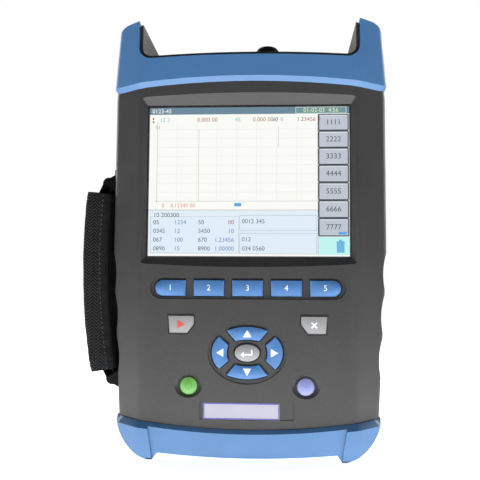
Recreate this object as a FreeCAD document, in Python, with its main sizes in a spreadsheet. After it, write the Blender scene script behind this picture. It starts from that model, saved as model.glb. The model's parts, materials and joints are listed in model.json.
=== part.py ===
import FreeCAD, Part
import math
import os
import Sketcher

"""Hand-held optical time domain reflectometer, standing upright on its bottom bumper.

Millimetres. X runs across the instrument, with the carrying strap on the -X side. Y runs from the
front (-Y) to the back, and Z runs up. Forms are drawn from the middle of the casing, and each part
is written with the origin on the ground under the middle of the whole instrument, strap included.
"""

DIMENSIONS = [
    # casing
    ("case_width", 159.0, "casing across its straight upper half"),
    ("foot_taper", 6.8, "how far a side wall stands further in at the ground line"),
    ("head_taper", 3.5, "how far a side wall stands further in at the top of a horn"),
    ("case_depth", 62.0, "front face to back face"),
    ("case_bottom", 4.6, "underside of the casing above the ground"),
    ("sole_inset", 22.5, "end of the flat underside, in from the side wall"),
    ("sole_corner_angle", 41.0, "slope of the cut lower corners"),
    ("taper_height", 113.5, "height where the lower taper starts"),
    ("head_taper_height", 205.5, "height where the upper taper starts"),
    ("valley_height", 230.1, "middle of the valley between the horns"),
    ("valley_drop", 1.85, "how much lower the valley is at its ends"),
    ("horn_height", 247.0, "inner corner of a casing horn"),
    ("horn_inset", 18.0, "inner wall of a casing horn, in from the side wall"),
    ("horn_root_radius", 5.0, "rounding at the root of a casing horn"),
    ("horn_slope", 16.9, "fall of a casing horn's top towards the outside, degrees"),
    ("front_run", 18.0, "front crease, in from the side wall, upper half"),
    ("front_run_foot", 13.7, "front crease, in from the side wall at the ground line"),
    ("front_facet_angle", 36.0, "slope of the front side facets"),
    ("back_run", 13.5, "back crease, in from the side wall, upper half"),
    ("back_run_foot", 11.7, "back crease, in from the side wall at the ground line"),
    ("back_facet_angle", 40.0, "slope of the back side facets"),
    ("crease_blend", 3.0, "tangent length of the rounding on a crease"),
    ("side_blend", 3.0, "tangent length of the rounding at a side wall"),
    ("parting_depth", 30.0, "front face to the parting plane of the two shells"),
    ("front_wall", 3.8, "wall behind the front face"),
    ("facet_wall", 3.0, "wall behind the facets"),
    ("side_wall", 4.6, "wall at the sides"),
    ("back_wall", 8.0, "wall behind the back face"),
    ("cavity_bottom", 9.0, "lower end of the hollow"),
    ("cavity_top", 222.4, "upper end of the hollow"),
    ("overlap", 1.0, "how far an added form reaches into the wall it stands on"),
    ("beyond", 12.0, "how far construction lines reach beyond the form they cut"),
    # finger scallops
    ("scallop_radius", 36.0, "radius of a finger scallop"),
    ("scallop_cut", 1.8, "depth of a finger scallop"),
    ("scallop_first", 102.5, "height of the highest scallop"),
    ("scallop_pitch", 24.6, "distance between scallops"),
    # bumpers
    ("bumper_face", 2.7, "how far the top bumper stands proud of the front and back"),
    ("bumper_facet", 2.7, "how far the top bumper stands proud of the facets"),
    ("corner_face", 4.0, "how far the corner bumpers stand proud of front, back and facets"),
    ("bumper_side", 1.0, "how far a bumper stands proud of the sides"),
    ("bumper_sink", 0.1, "corner rounding of the bottom bumper inside its side face"),
    ("bumper_gap", 0.1, "play between a bumper and the casing"),
    ("lip_height", 3.3, "bevelled lip of a bumper"),
    ("top_lip_mid", 212.2, "lower edge of the top bumper in the middle"),
    ("top_lip_level", 208.4, "lower edge of the top bumper on the facets and sides"),
    ("lip_level_inset", 13.5, "where the top bumper's lower edge turns level, from the side wall"),
    ("lip_ease_radius", 60.0, "easing arc where the arched lip turns level"),
    ("bumper_horn_inset", 16.0, "inner edge of a bumper horn, in from the side wall"),
    ("bumper_horn_top", 248.5, "inner corner of a bumper horn"),
    ("bumper_horn_slope", 4.0, "fall of a bumper horn's top towards the outside, degrees"),
    ("bumper_horn_side", 1.5, "outer side of a bumper horn, in from the side wall"),
    ("bumper_horn_round", 8.0, "rounding at the outer top of a bumper horn"),
    ("bumper_root_radius", 7.0, "rounding at the root of a bumper horn"),
    ("bumper_valley", 227.95, "valley edge of the top bumper in the middle"),
    ("foot_lip_mid", 15.9, "upper edge of the bottom bumper in the middle"),
    ("foot_lip_kink", 19.7, "upper edge of the bottom bumper at its ridges"),
    ("foot_lip_side", 21.8, "upper edge of the bottom bumper at the sides"),
    ("foot_kink_inset", 23.9, "ridge of a corner bumper at its top, in from the side wall"),
    ("foot_tip_inset", 27.5, "inner tip of a foot, in from the side wall"),
    ("foot_width", 2.4, "flat contact strip of a foot"),
    ("sole_end_inset", 30.0, "where the raised sole meets a foot, in from the side wall"),
    ("sole_mid", 1.0, "raised sole above the ground in the middle"),
    ("sole_end", 3.5, "raised sole above the ground at its ends"),
    ("foot_round", 26.0, "height of the centre of the big corner rounding"),
    ("ridge_step", 1.3, "step from a corner bumper down to the middle stretch"),
    # display
    ("screen_height", 155.5, "centre of the display above the ground"),
    ("screen_width", 115.2, "active display area across"),
    ("screen_tall", 86.4, "active display area up"),
    ("screen_border", 0.9, "dark border seen round the active area"),
    ("bezel_depth", 3.2, "depth of the sloping bezel"),
    ("bezel_side", 2.9, "width of the bezel slope at the sides"),
    ("bezel_top", 4.3, "height of the bezel slope at the top corners"),
    ("bezel_bottom", 3.6, "height of the bezel slope at the bottom corners"),
    ("bezel_rise", 2.2, "rise of the arched upper bezel edge"),
    ("bezel_dip", 1.8, "dip of the arched lower bezel edge"),
    ("bezel_round", 0.6, "how much larger the bezel's corner rounding is at the front face"),
    ("bezel_foot_round", 0.4, "corner rounding at the foot of the bezel"),
    ("bezel_foot_arch", 0.05, "arch that is left at the foot of the bezel"),
    ("lens_sink", 0.3, "lens rebate in the back of the front wall"),
    ("lens_seat", 2.6, "overlap of the lens behind its opening"),
    ("lens_play", 0.1, "play round the lens in its rebate"),
    ("lens_thick", 1.0, "display lens"),
    ("gasket_thick", 0.5, "gasket between lens and display"),
    ("gasket_rim", 2.6, "width of the gasket's rim"),
    ("module_thick", 6.0, "display module"),
    # keypad
    ("key_gap", 0.3, "play between a key and its hole"),
    ("key_flange", 0.7, "retaining flange beyond the hole"),
    ("flange_thick", 1.0, "thickness of a key's flange"),
    ("flange_play", 0.15, "flange to the wall in front of it"),
    ("key_travel", 1.0, "how far a key goes in"),
    ("key_round", 0.5, "rounded top edge of a key"),
    ("mat_play", 0.15, "pressed key to the rubber mat"),
    ("mat_thick", 1.2, "rubber mat"),
    ("keyboard_thick", 1.6, "keypad circuit board"),
    ("keyboard_rim", 1.6, "mat and board beyond the outermost keys"),
    ("soft_row_drop", 61.4, "soft keys below the centre of the display"),
    ("soft_pitch", 21.8, "distance between soft keys"),
    ("soft_width", 17.4, "soft key across"),
    ("soft_tall", 9.0, "soft key up"),
    ("soft_top", 0.4, "soft key below the front face"),
    ("trough_half", 55.0, "half length of the trough round the soft keys"),
    ("trough_tall", 12.6, "height of that trough"),
    ("trough_depth", 1.2, "depth of that trough"),
    ("trough_end", 0.05, "straight stretch in the middle of the trough's round ends"),
    ("side_key_centre", 37.3, "start and escape key from the middle"),
    ("side_key_drop", 81.9, "start and escape key below the centre of the display"),
    ("side_key_width", 14.9, "start and escape key across"),
    ("side_key_tall", 10.0, "start and escape key up"),
    ("side_key_cut", 3.9, "cut inner lower corner of those keys, across"),
    ("side_key_cut_tall", 5.3, "cut inner lower corner of those keys, up"),
    ("side_key_lean", 0.8, "lean of their outer edge"),
    ("side_key_top", 0.3, "those keys below the front face"),
    ("pad_drop", 97.4, "arrow pad below the centre of the display"),
    ("pad_half_width", 22.0, "elliptical recess of the arrow pad, half across"),
    ("pad_half_tall", 17.4, "elliptical recess of the arrow pad, half up"),
    ("pad_depth", 0.9, "depth of that recess"),
    ("arrow_outer_tall", 14.6, "up and down keys: outer edge from the pad's centre"),
    ("arrow_inner_tall", 7.3, "up and down keys: inner edge from the pad's centre"),
    ("arrow_half_width", 11.6, "up and down keys: half across"),
    ("arrow_tip_half", 6.6, "up and down keys: half across at the inner edge"),
    ("arrow_outer_wide", 19.9, "left and right keys: outer edge from the pad's centre"),
    ("arrow_inner_wide", 11.3, "left and right keys: inner edge from the pad's centre"),
    ("arrow_half_tall", 9.0, "left and right keys: half up"),
    ("arrow_tip_tall", 4.3, "left and right keys: half up at the inner edge"),
    ("tall_outer_sag", 2.3, "up and down keys: sag of the outer arc"),
    ("tall_inner_sag", 0.9, "up and down keys: sag of the inner arc"),
    ("wide_outer_sag", 4.2, "left and right keys: sag of the outer arc"),
    ("wide_inner_sag", 1.0, "left and right keys: sag of the inner arc"),
    ("arrow_top", 0.4, "arrow keys below the front face"),
    ("enter_half_width", 7.0, "enter key, half across"),
    ("enter_half_tall", 4.8, "enter key, half up"),
    ("enter_top", 0.1, "enter key below the front face"),
    ("round_key_centre", 32.6, "power and light key from the middle"),
    ("round_key_drop", 115.8, "power and light key below the centre of the display"),
    ("round_key_radius", 4.8, "power and light key"),
    ("round_key_top", 0.6, "power and light key below the front face"),
    ("dish_half_width", 8.0, "dish round a round key, half across"),
    ("dish_half_tall", 6.5, "dish round a round key, half up"),
    ("dish_depth", 1.8, "depth of that dish"),
    ("dish_flare", 0.5, "how far the dish is drawn out in front of the front face"),
    ("dish_floor_wide", 0.5, "floor of the dish beside the key's hole"),
    ("dish_floor_tall", 0.3, "floor of the dish above and below the key's hole"),
    ("label_drop", 129.5, "label recess below the centre of the display"),
    ("label_half", 26.4, "half length of the label recess"),
    ("label_tall", 9.6, "height of the label recess"),
    ("label_depth", 0.6, "depth of the label recess"),
    ("label_round", 1.0, "corner rounding of the label recess"),
    ("label_left", 2.1, "left end of the label recess to the plate"),
    ("label_play", 0.3, "label recess above and below the plate"),
    ("label_length", 42.4, "label plate"),
    ("label_thick", 0.4, "label plate"),
    # connector panel
    ("panel_half", 48.0, "half length of the connector panel"),
    ("panel_depth", 36.0, "connector panel front to back"),
    ("panel_thick", 3.0, "connector panel"),
    ("panel_drop", 2.2, "panel top below the middle of the valley"),
    ("panel_gap", 0.1, "play round the connector panel"),
    ("panel_ledge", 2.5, "ledge under the edge of the connector panel"),
    ("port_place", 10.2, "optical port from the middle"),
    ("port_flange", 17.0, "square flange of the optical port"),
    ("flange_plate", 2.0, "thickness of a port flange"),
    ("flange_round", 1.5, "corner rounding of a port flange"),
    ("port_radius", 4.6, "optical port barrel"),
    ("port_tall", 9.0, "optical port barrel above its flange"),
    ("port_bore", 1.3, "ferrule bore of the optical ports"),
    ("cap_radius", 7.0, "dust cap"),
    ("cap_wall", 2.2, "wall of a dust cap"),
    ("cap_tall", 12.2, "dust cap"),
    ("cap_play", 0.2, "play of a dust cap on its port"),
    ("cap_dome", 3.4, "domed top of the test port's dust cap"),
    ("visual_cap_dome", 1.6, "domed top of the visual fault port's dust cap"),
    ("visual_place", 18.0, "visual fault port from the middle, towards the strap"),
    ("visual_radius", 3.2, "visual fault port barrel"),
    ("visual_tall", 3.6, "visual fault port barrel above its flange"),
    ("visual_cap_radius", 5.0, "dust cap of the visual fault port"),
    ("visual_cap_tall", 5.6, "dust cap of the visual fault port"),
    ("port_depth", 10.0, "how deep the ports reach below the panel"),
    ("usb_place", 31.0, "data socket from the middle"),
    ("usb_width", 14.4, "data socket outside, across"),
    ("usb_depth", 7.2, "data socket outside, front to back"),
    ("usb_wall", 0.8, "wall of the data socket"),
    ("usb_tall", 14.0, "data socket"),
    ("jack_place", 37.0, "power jack from the middle, towards the strap"),
    ("jack_radius", 4.2, "power jack"),
    ("jack_bore", 3.1, "bore of the power jack"),
    ("jack_pin", 1.0, "centre pin of the power jack"),
    ("jack_tall", 12.0, "power jack"),
    ("cover_wide", 19.0, "rubber port cover, across"),
    ("cover_deep", 12.0, "rubber port cover, front to back"),
    ("cover_thick", 1.6, "rubber port cover"),
    ("cover_round", 2.0, "corner rounding of the port cover"),
    # inside
    ("board_depth", 14.2, "front face to the main board"),
    ("board_thick", 1.6, "main board"),
    ("board_half", 54.0, "main board, half across"),
    ("board_low", 23.0, "lower edge of the main board"),
    ("board_high", 214.0, "upper edge of the main board"),
    ("post_radius", 2.6, "post that carries a circuit board"),
    ("post_half", 50.0, "posts from the middle"),
    ("post_low", 27.0, "height of the lowest main board posts"),
    ("post_mid", 104.4, "height of the middle main board posts"),
    ("post_high", 209.0, "height of the highest main board posts"),
    ("keypad_post_low", 38.0, "height of the lower keypad posts"),
    ("keypad_post_high", 83.0, "height of the upper keypad posts"),
    ("boss_radius", 3.6, "screw boss"),
    ("boss_start", 6.6, "front face to the root of the front bosses"),
    ("boss_inset_high", 14.3, "upper screw bosses, in from the side wall"),
    ("boss_inset_low", 16.5, "lower screw bosses, in from the side wall"),
    ("boss_low", 30.0, "height of the lower screw bosses"),
    ("boss_high", 200.0, "height of the upper screw bosses"),
    ("screw_radius", 1.5, "casing screw shank"),
    ("screw_play", 0.1, "radial play of a screw in its hole"),
    ("screw_head_radius", 2.8, "casing screw head"),
    ("screw_head_tall", 2.0, "casing screw head"),
    ("screw_sink", 3.4, "screw head below the back face"),
    ("screw_reach", 14.0, "screw thread in the front shell"),
    ("screw_tip_play", 1.0, "hole beyond the tip of a screw"),
    ("optics_width", 84.0, "optical module"),
    ("optics_depth", 24.0, "optical module"),
    ("optics_tall", 58.0, "optical module"),
    ("optics_low", 140.0, "lower edge of the optical module"),
    ("standoff_tall", 4.0, "spacers between main board and optical module"),
    ("standoff_inset", 5.0, "spacers from the edges of the optical module"),
    ("standoff_radius", 2.6, "spacers between main board and optical module"),
    # battery
    ("door_width", 84.0, "battery door"),
    ("door_tall", 88.0, "battery door"),
    ("door_low", 36.0, "lower edge of the battery door"),
    ("door_thick", 2.4, "battery door"),
    ("door_gap", 0.25, "play round the battery door"),
    ("door_ledge", 6.6, "ledge that carries the battery door"),
    ("door_screw_reach", 6.0, "thread of a battery door screw in the back shell"),
    ("door_round", 4.0, "corner rounding of the battery door"),
    ("battery_depth", 21.0, "battery pack front to back"),
    ("battery_gap", 0.4, "play round the battery pack"),
    ("bay_wall", 1.8, "walls of the battery bay"),
    # tilt stand
    ("stand_inset", 22.5, "tilt stand, in from the side wall"),
    ("stand_leg", 8.0, "width of a leg and of the cross bar"),
    ("stand_thick", 4.4, "tilt stand"),
    ("stand_pivot", 137.0, "height of the hinge line"),
    ("stand_low", 22.6, "lower edge of the tilt stand"),
    ("stand_gap", 0.5, "play round the tilt stand"),
    ("notch_half", 14.0, "finger notch under the cross bar, half across"),
    ("notch_tall", 11.0, "finger notch under the cross bar"),
    ("stand_pin_radius", 1.25, "hinge pin"),
    ("stand_pin_play", 0.05, "radial play of the hinge pin"),
    ("stand_pin_reach", 5.0, "hinge pin in the casing on each side of a leg"),
    ("stand_pin_end", 0.3, "end of a hinge pin to the end of its hole"),
    # strap
    ("strap_centre", 3.5, "strap behind the middle plane"),
    ("web_width", 25.0, "webbing"),
    ("web_thick", 2.0, "webbing"),
    ("web_high", 157.0, "height of the upper strap bar"),
    ("web_low", 41.2, "height of the lower strap bar"),
    ("bar_off", 5.5, "strap bar from the side wall"),
    ("bar_radius", 1.6, "strap bar"),
    ("bar_play", 0.4, "webbing loop round the bar"),
    ("anchor_plate", 1.2, "plate of a strap anchor"),
    ("anchor_tall", 16.0, "plate of a strap anchor"),
    ("anchor_ear", 2.0, "ears of a strap anchor"),
    ("ear_play", 0.5, "webbing to an ear"),
    ("ear_rim", 0.6, "ear round the strap bar"),
    ("anchor_round", 1.5, "corner rounding of an anchor's plate"),
    ("pad_top", 151.0, "upper hem of the strap pad"),
    ("pad_low", 46.0, "lower hem of the strap pad"),
    ("pad_width", 33.0, "strap pad front to back"),
    ("pad_thick", 13.5, "strap pad"),
    ("pad_out_top", 16.3, "outer face of the pad at its upper hem, out from the side wall"),
    ("pad_out_low", 11.5, "outer face of the pad at its lower hem, out from the same line"),
    ("pad_bow", 4.6, "bow of the pad away from the casing"),
    ("pad_gap", 0.4, "play between pad and webbing"),
]

DOC = FreeCAD.newDocument("reflectometer")
FRONT = -1
BACK = 1


class Size:
    """A length or angle that carries its value and the sheet expression behind it."""

    def __init__(self, text, value):
        self.text = text
        self.value = value

    def join(self, sign, other, turned=False):
        other = as_size(other)
        first, second = (other, self) if turned else (self, other)
        value = {
            "+": lambda a, b: a + b,
            "-": lambda a, b: a - b,
            "*": lambda a, b: a * b,
            "/": lambda a, b: a / b,
        }[sign](first.value, second.value)
        return Size(f"({first.text} {sign} {second.text})", value)

    def __add__(self, other):
        return self.join("+", other)

    def __radd__(self, other):
        return self.join("+", other, True)

    def __sub__(self, other):
        return self.join("-", other)

    def __rsub__(self, other):
        return self.join("-", other, True)

    def __mul__(self, other):
        return self.join("*", other)

    def __rmul__(self, other):
        return self.join("*", other, True)

    def __truediv__(self, other):
        return self.join("/", other)

    def __neg__(self):
        return self.join("*", -1)

    def root(self):
        return Size(f"sqrt({self.text})", math.sqrt(self.value))

    def sin(self):
        return Size(f"sin({self.text})", math.sin(math.radians(self.value)))

    def cos(self):
        return Size(f"cos({self.text})", math.cos(math.radians(self.value)))

    def tan(self):
        return Size(f"tan({self.text})", math.tan(math.radians(self.value)))


def as_size(value):
    return value if isinstance(value, Size) else Size(f"{value}", float(value))


class Sheet:
    """The spreadsheet of driving dimensions, read as dims.alias."""

    def __init__(self):
        self.sheet = DOC.addObject("Spreadsheet::Sheet", "dims")
        for row, (alias, value, note) in enumerate(DIMENSIONS, 1):
            self.sheet.set(f"A{row}", note)
            self.sheet.set(f"B{row}", str(value))
            self.sheet.setAlias(f"B{row}", alias)
        DOC.recompute()

    def __getattr__(self, alias):
        return Size(f"dims.{alias}", float(self.sheet.get(alias)))


dims = Sheet()


def bind(thing, prop, size):
    """Ties one property to the sheet."""
    thing.setExpression(prop, as_size(size).text)


# ---------------------------------------------------------------- sketches


class Corner:
    """A corner of an outline, with the arc that leaves it, if one does.

    An arc is fixed by one coordinate of its centre: across (the sketch's first axis) or up (its
    second). left says whether it turns left as the outline is followed.
    """

    def __init__(self, across, up, centre_across=None, centre_up=None, left=True):
        self.across = as_size(across)
        self.up = as_size(up)
        self.centre_across = None if centre_across is None else as_size(centre_across)
        self.centre_up = None if centre_up is None else as_size(centre_up)
        self.left = left

    def is_arc(self):
        return self.centre_across is not None or self.centre_up is not None

    def point(self):
        return FreeCAD.Vector(self.across.value, self.up.value, 0)


def arc_centre(corner, following):
    """Centre of the arc between two corners, from the one coordinate that is given."""
    start, end = corner.point(), following.point()
    middle = (start + end) * 0.5
    chord = end - start
    if corner.centre_across is not None:
        across = corner.centre_across.value
        up = middle.y - (across - middle.x) * chord.x / chord.y
    else:
        up = corner.centre_up.value
        across = middle.x - (up - middle.y) * chord.y / chord.x
    return FreeCAD.Vector(across, up, 0)


def edge_between(corner, following):
    """Geometry from one corner to the next, with the numbers of its first and last point."""
    start, end = corner.point(), following.point()
    if not corner.is_arc():
        return Part.LineSegment(start, end), 1, 2
    centre = arc_centre(corner, following)
    circle = Part.Circle(centre, FreeCAD.Vector(0, 0, 1), (start - centre).Length)
    first, last = (start, end) if corner.left else (end, start)
    angles = [math.atan2(p.y - centre.y, p.x - centre.x) for p in (first, last)]
    arc = Part.ArcOfCircle(circle, angles[0], angles[1])
    return (arc, 1, 2) if corner.left else (arc, 2, 1)


def new_sketch(body, name, role, offset):
    """An empty sketch on one of the body's origin planes, moved off along the plane's normal."""
    sketch = body.newObject("Sketcher::SketchObject", name)
    plane = [item for item in body.Origin.OriginFeatures if item.Role == role][0]
    sketch.AttachmentSupport = [(plane, "")]
    sketch.MapMode = "FlatFace"
    bind(sketch, "AttachmentOffset.Base.z", offset)
    return sketch


def hold(sketch, constraint, size):
    """Adds one dimension to a sketch and ties it to the sheet."""
    index = sketch.addConstraint(constraint)
    bind(sketch, f"Constraints[{index}]", size)


def draw_outline(sketch, corners):
    """Draws a closed outline and ties each of its corners to the sheet."""
    following = corners[1:] + corners[:1]
    edges = [edge_between(*pair) for pair in zip(corners, following)]
    numbers = [sketch.addGeometry(edge[0], False) for edge in edges]
    count = len(edges)
    joints = []
    for place in range(count):
        after = (place + 1) % count
        joints.append(Sketcher.Constraint(
            "Coincident", numbers[place], edges[place][2], numbers[after], edges[after][1]))
    sketch.addConstraint(joints)
    for corner, number, edge in zip(corners, numbers, edges):
        for kind, size in (("DistanceX", corner.across), ("DistanceY", corner.up)):
            hold(sketch, Sketcher.Constraint(kind, -1, 1, number, edge[1], size.value), size)
        if corner.centre_across is not None:
            size = corner.centre_across
            hold(sketch, Sketcher.Constraint("DistanceX", -1, 1, number, 3, size.value), size)
        elif corner.centre_up is not None:
            size = corner.centre_up
            hold(sketch, Sketcher.Constraint("DistanceY", -1, 1, number, 3, size.value), size)


def draw_circle(sketch, across, up, radius):
    across, up, radius = as_size(across), as_size(up), as_size(radius)
    centre = FreeCAD.Vector(across.value, up.value, 0)
    number = sketch.addGeometry(Part.Circle(centre, FreeCAD.Vector(0, 0, 1), radius.value), False)
    hold(sketch, Sketcher.Constraint("DistanceX", -1, 1, number, 3, across.value), across)
    hold(sketch, Sketcher.Constraint("DistanceY", -1, 1, number, 3, up.value), up)
    hold(sketch, Sketcher.Constraint("Radius", number, radius.value), radius)


def draw_ellipse(sketch, across, up, half_wide, half_tall):
    """Draws an ellipse that is wider than tall."""
    across, up = as_size(across), as_size(up)
    half_wide, half_tall = as_size(half_wide), as_size(half_tall)
    centre = FreeCAD.Vector(across.value, up.value, 0)
    wide = centre + FreeCAD.Vector(half_wide.value, 0, 0)
    tall = centre + FreeCAD.Vector(0, half_tall.value, 0)
    number = sketch.addGeometry(Part.Ellipse(wide, tall, centre), False)
    sketch.exposeInternalGeometry(number)
    hold(sketch, Sketcher.Constraint("DistanceX", -1, 1, number, 3, across.value), across)
    hold(sketch, Sketcher.Constraint("DistanceY", -1, 1, number, 3, up.value), up)
    sketch.addConstraint(Sketcher.Constraint("Horizontal", number + 1))
    hold(sketch, Sketcher.Constraint("Distance", number + 1, 2 * half_wide.value), 2 * half_wide)
    hold(sketch, Sketcher.Constraint("Distance", number + 2, 2 * half_tall.value), 2 * half_tall)


def box_corners(across, up, wide, tall):
    """A rectangle round a centre."""
    return [
        Corner(across - wide / 2, up - tall / 2),
        Corner(across + wide / 2, up - tall / 2),
        Corner(across + wide / 2, up + tall / 2),
        Corner(across - wide / 2, up + tall / 2),
    ]


def round_box_corners(across, up, wide, tall, radius):
    """A rectangle with rounded corners."""
    left, right = across - wide / 2, across + wide / 2
    low, high = up - tall / 2, up + tall / 2
    return [
        Corner(left + radius, low),
        Corner(right - radius, low, centre_across=right - radius),
        Corner(right, low + radius),
        Corner(right, high - radius, centre_up=high - radius),
        Corner(right - radius, high),
        Corner(left + radius, high, centre_across=left + radius),
        Corner(left, high - radius),
        Corner(left, low + radius, centre_up=low + radius),
    ]


def arch_centre(apex, half_span, rise):
    """Height of the centre of an arch that rises to apex over a span."""
    return apex - (half_span * half_span + rise * rise) / (2 * rise)


def with_mirror(right):
    """Closes an outline from its right half, listed upwards from the lowest corner."""
    left = []
    for place in range(len(right) - 1, -1, -1):
        source = right[place]
        before = right[place - 1] if place > 0 else None
        arc = {}
        if before is not None and before.centre_across is not None:
            arc = {"centre_across": -before.centre_across, "left": before.left}
        elif before is not None and before.centre_up is not None:
            arc = {"centre_up": before.centre_up, "left": before.left}
        left.append(Corner(-source.across, source.up, **arc))
    return right + left


# ---------------------------------------------------------------- features


def new_body(name):
    body = DOC.addObject("PartDesign::Body", name)
    body.Label = name
    return body


def finish_feature(body, feature):
    """Recomputes and stops the build at a feature that failed."""
    DOC.recompute()
    if feature.Shape.isNull() or "Invalid" in feature.State:
        raise RuntimeError(f"{body.Label}: {feature.Label} failed: {feature.getStatusString()}")
    return feature


def pad(body, sketch, length, name, both_ways=False, reverse=False):
    feature = body.newObject("PartDesign::Pad", name)
    feature.Profile = sketch
    bind(feature, "Length", length)
    feature.Midplane = both_ways
    feature.Reversed = reverse
    return finish_feature(body, feature)


def pocket(body, sketch, length, name, both_ways=False, reverse=False):
    """Cuts a sketch out of the body, and makes sure that something was cut."""
    before = body.Tip.Shape.Volume
    feature = body.newObject("PartDesign::Pocket", name)
    feature.Profile = sketch
    bind(feature, "Length", length)
    feature.Midplane = both_ways
    feature.Reversed = reverse
    finish_feature(body, feature)
    if feature.Shape.Volume > before - 1e-6:
        raise RuntimeError(f"{body.Label}: {name} cuts nothing")
    return feature


def loft(body, sketches, name, cut=False):
    kind = "PartDesign::SubtractiveLoft" if cut else "PartDesign::AdditiveLoft"
    before = body.Tip.Shape.Volume if cut else None
    feature = body.newObject(kind, name)
    feature.Profile = sketches[0]
    feature.Sections = sketches[1:]
    feature.Ruled = True
    finish_feature(body, feature)
    if cut and feature.Shape.Volume > before - 1e-6:
        raise RuntimeError(f"{body.Label}: {name} cuts nothing")
    return feature


def edges_where(shape, test):
    return [f"Edge{number}" for number, edge in enumerate(shape.Edges, 1) if test(edge)]


def round_edges(body, radius, test, name):
    base = body.Tip
    feature = body.newObject("PartDesign::Fillet", name)
    feature.Base = (base, edges_where(base.Shape, test))
    bind(feature, "Radius", radius)
    return finish_feature(body, feature)


def bevel_edges(body, size, test, name):
    base = body.Tip
    feature = body.newObject("PartDesign::Chamfer", name)
    feature.Base = (base, edges_where(base.Shape, test))
    bind(feature, "Size", size)
    return finish_feature(body, feature)


def runs_along(edge, axis):
    """Whether an edge is straight and parallel to an axis, 0 for X, 1 for Y and 2 for Z."""
    if edge.Curve.TypeId != "Part::GeomLine":
        return False
    direction = edge.Curve.Direction
    return abs((direction.x, direction.y, direction.z)[axis]) > 0.9999


def lies_at(edge, axis, place, tolerance=0.01):
    """Whether all of an edge lies at one coordinate."""
    box = edge.BoundBox
    low = (box.XMin, box.YMin, box.ZMin)[axis]
    high = (box.XMax, box.YMax, box.ZMax)[axis]
    place = as_size(place).value
    return abs(low - place) < tolerance and abs(high - place) < tolerance


# ---------------------------------------------------------------- casing form

FRONT_FACE = -dims.case_depth / 2
BACK_FACE = dims.case_depth / 2
PARTING = FRONT_FACE + dims.parting_depth
CASE_HALF = dims.case_width / 2
OUTSIDE = CASE_HALF + dims.beyond
HORN_INNER = CASE_HALF - dims.horn_inset
FOOT_TIP = CASE_HALF - dims.foot_tip_inset
FOOT_KINK = CASE_HALF - dims.foot_kink_inset


class Skin:
    """How far a form stands outside the casing, at its face, its facets and its sides."""

    def __init__(self, face, facet, side):
        self.face = as_size(face)
        self.facet = as_size(facet)
        self.side = as_size(side)


CASING = Skin(0, 0, 0)
ENVELOPE = Skin(dims.bumper_gap, dims.bumper_gap, dims.bumper_gap)
TOP_BUMPER = Skin(dims.bumper_face, dims.bumper_facet, dims.bumper_side)
CORNER_BUMPER = Skin(dims.corner_face, dims.corner_face, dims.bumper_side)
FRONT_HOLLOW = Skin(-dims.front_wall, -dims.facet_wall, -dims.side_wall)
BACK_HOLLOW = Skin(-dims.back_wall, -dims.back_wall, -dims.side_wall)


def between(low, high, share):
    return low + (high - low) * share


def half_width_at(height):
    """Half width of the casing below the height where its taper starts."""
    return CASE_HALF - dims.foot_taper * (1 - height / dims.taper_height)


def level_sizes(side, height, where):
    """Half width and crease of the casing at one level."""
    run, run_foot = (
        (dims.front_run, dims.front_run_foot)
        if side == FRONT
        else (dims.back_run, dims.back_run_foot)
    )
    if where == "low":
        half = half_width_at(height)
        return half, half - between(run_foot, run, height / dims.taper_height)
    if where == "straight":
        return CASE_HALF, CASE_HALF - run
    share = (height - dims.head_taper_height) / (dims.horn_height - dims.head_taper_height)
    return CASE_HALF - dims.head_taper * share, CASE_HALF - run


def half_section(body, name, side, skin, height, where):
    """Half of the casing's cross-section, from the parting plane to the front or back face."""
    half, crease = level_sizes(side, height, where)
    angle = dims.front_facet_angle if side == FRONT else dims.back_facet_angle
    face = (FRONT_FACE if side == FRONT else BACK_FACE) + side * skin.face
    crease = crease + (skin.facet - skin.face * angle.cos()) / angle.sin()
    half = half + skin.side
    corner = face - side * (half - crease) * angle.tan()
    blend, end = dims.crease_blend, dims.side_blend
    turns = side == FRONT
    right = [
        Corner(crease - blend, face, centre_across=crease - blend, left=turns),
        Corner(crease + blend * angle.cos(), face - side * blend * angle.sin()),
        Corner(
            half - end * angle.cos(),
            corner + side * end * angle.sin(),
            centre_up=corner - side * end,
            left=turns,
        ),
        Corner(half, corner - side * end),
        Corner(half, PARTING),
    ]
    sketch = new_sketch(body, name, "XY_Plane", height)
    draw_outline(sketch, with_mirror(right))
    return sketch


def half_block(body, side, skin, levels, cut=False):
    """The casing's form on one side of the parting plane, lofted through a list of levels."""
    word = "front" if side == FRONT else "back"
    sections = []
    for number, (height, where) in enumerate(levels, 1):
        name = f"{word}_{'hollow' if cut else 'form'}_{number}"
        sections.append(half_section(body, name, side, skin, as_size(height), where))
    return loft(body, sections, f"{word}_{'hollow' if cut else 'form'}", cut)


def casing_levels():
    return [
        (dims.case_bottom / 2, "low"),
        (dims.taper_height, "straight"),
        (dims.head_taper_height, "straight"),
        (dims.horn_height + dims.beyond, "head"),
    ]


def casing_outline(grow):
    """Front outline of the casing: cut lower corners, two horns and the arched valley."""
    low = dims.case_bottom - grow
    valley_end = dims.valley_height - dims.valley_drop
    root = HORN_INNER - dims.horn_root_radius
    slope = dims.horn_slope.tan()
    return with_mirror([
        Corner(CASE_HALF - dims.sole_inset, low),
        Corner(OUTSIDE, low + (OUTSIDE - CASE_HALF + dims.sole_inset) * dims.sole_corner_angle.tan()),
        Corner(OUTSIDE, dims.horn_height + grow - (OUTSIDE - HORN_INNER) * slope),
        Corner(HORN_INNER - grow, dims.horn_height + grow + grow * slope),
        Corner(HORN_INNER - grow, valley_end + dims.horn_root_radius,
               centre_across=root, left=False),
        Corner(root, valley_end + grow,
               centre_up=arch_centre(dims.valley_height, root, dims.valley_drop) + grow),
    ])


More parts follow.
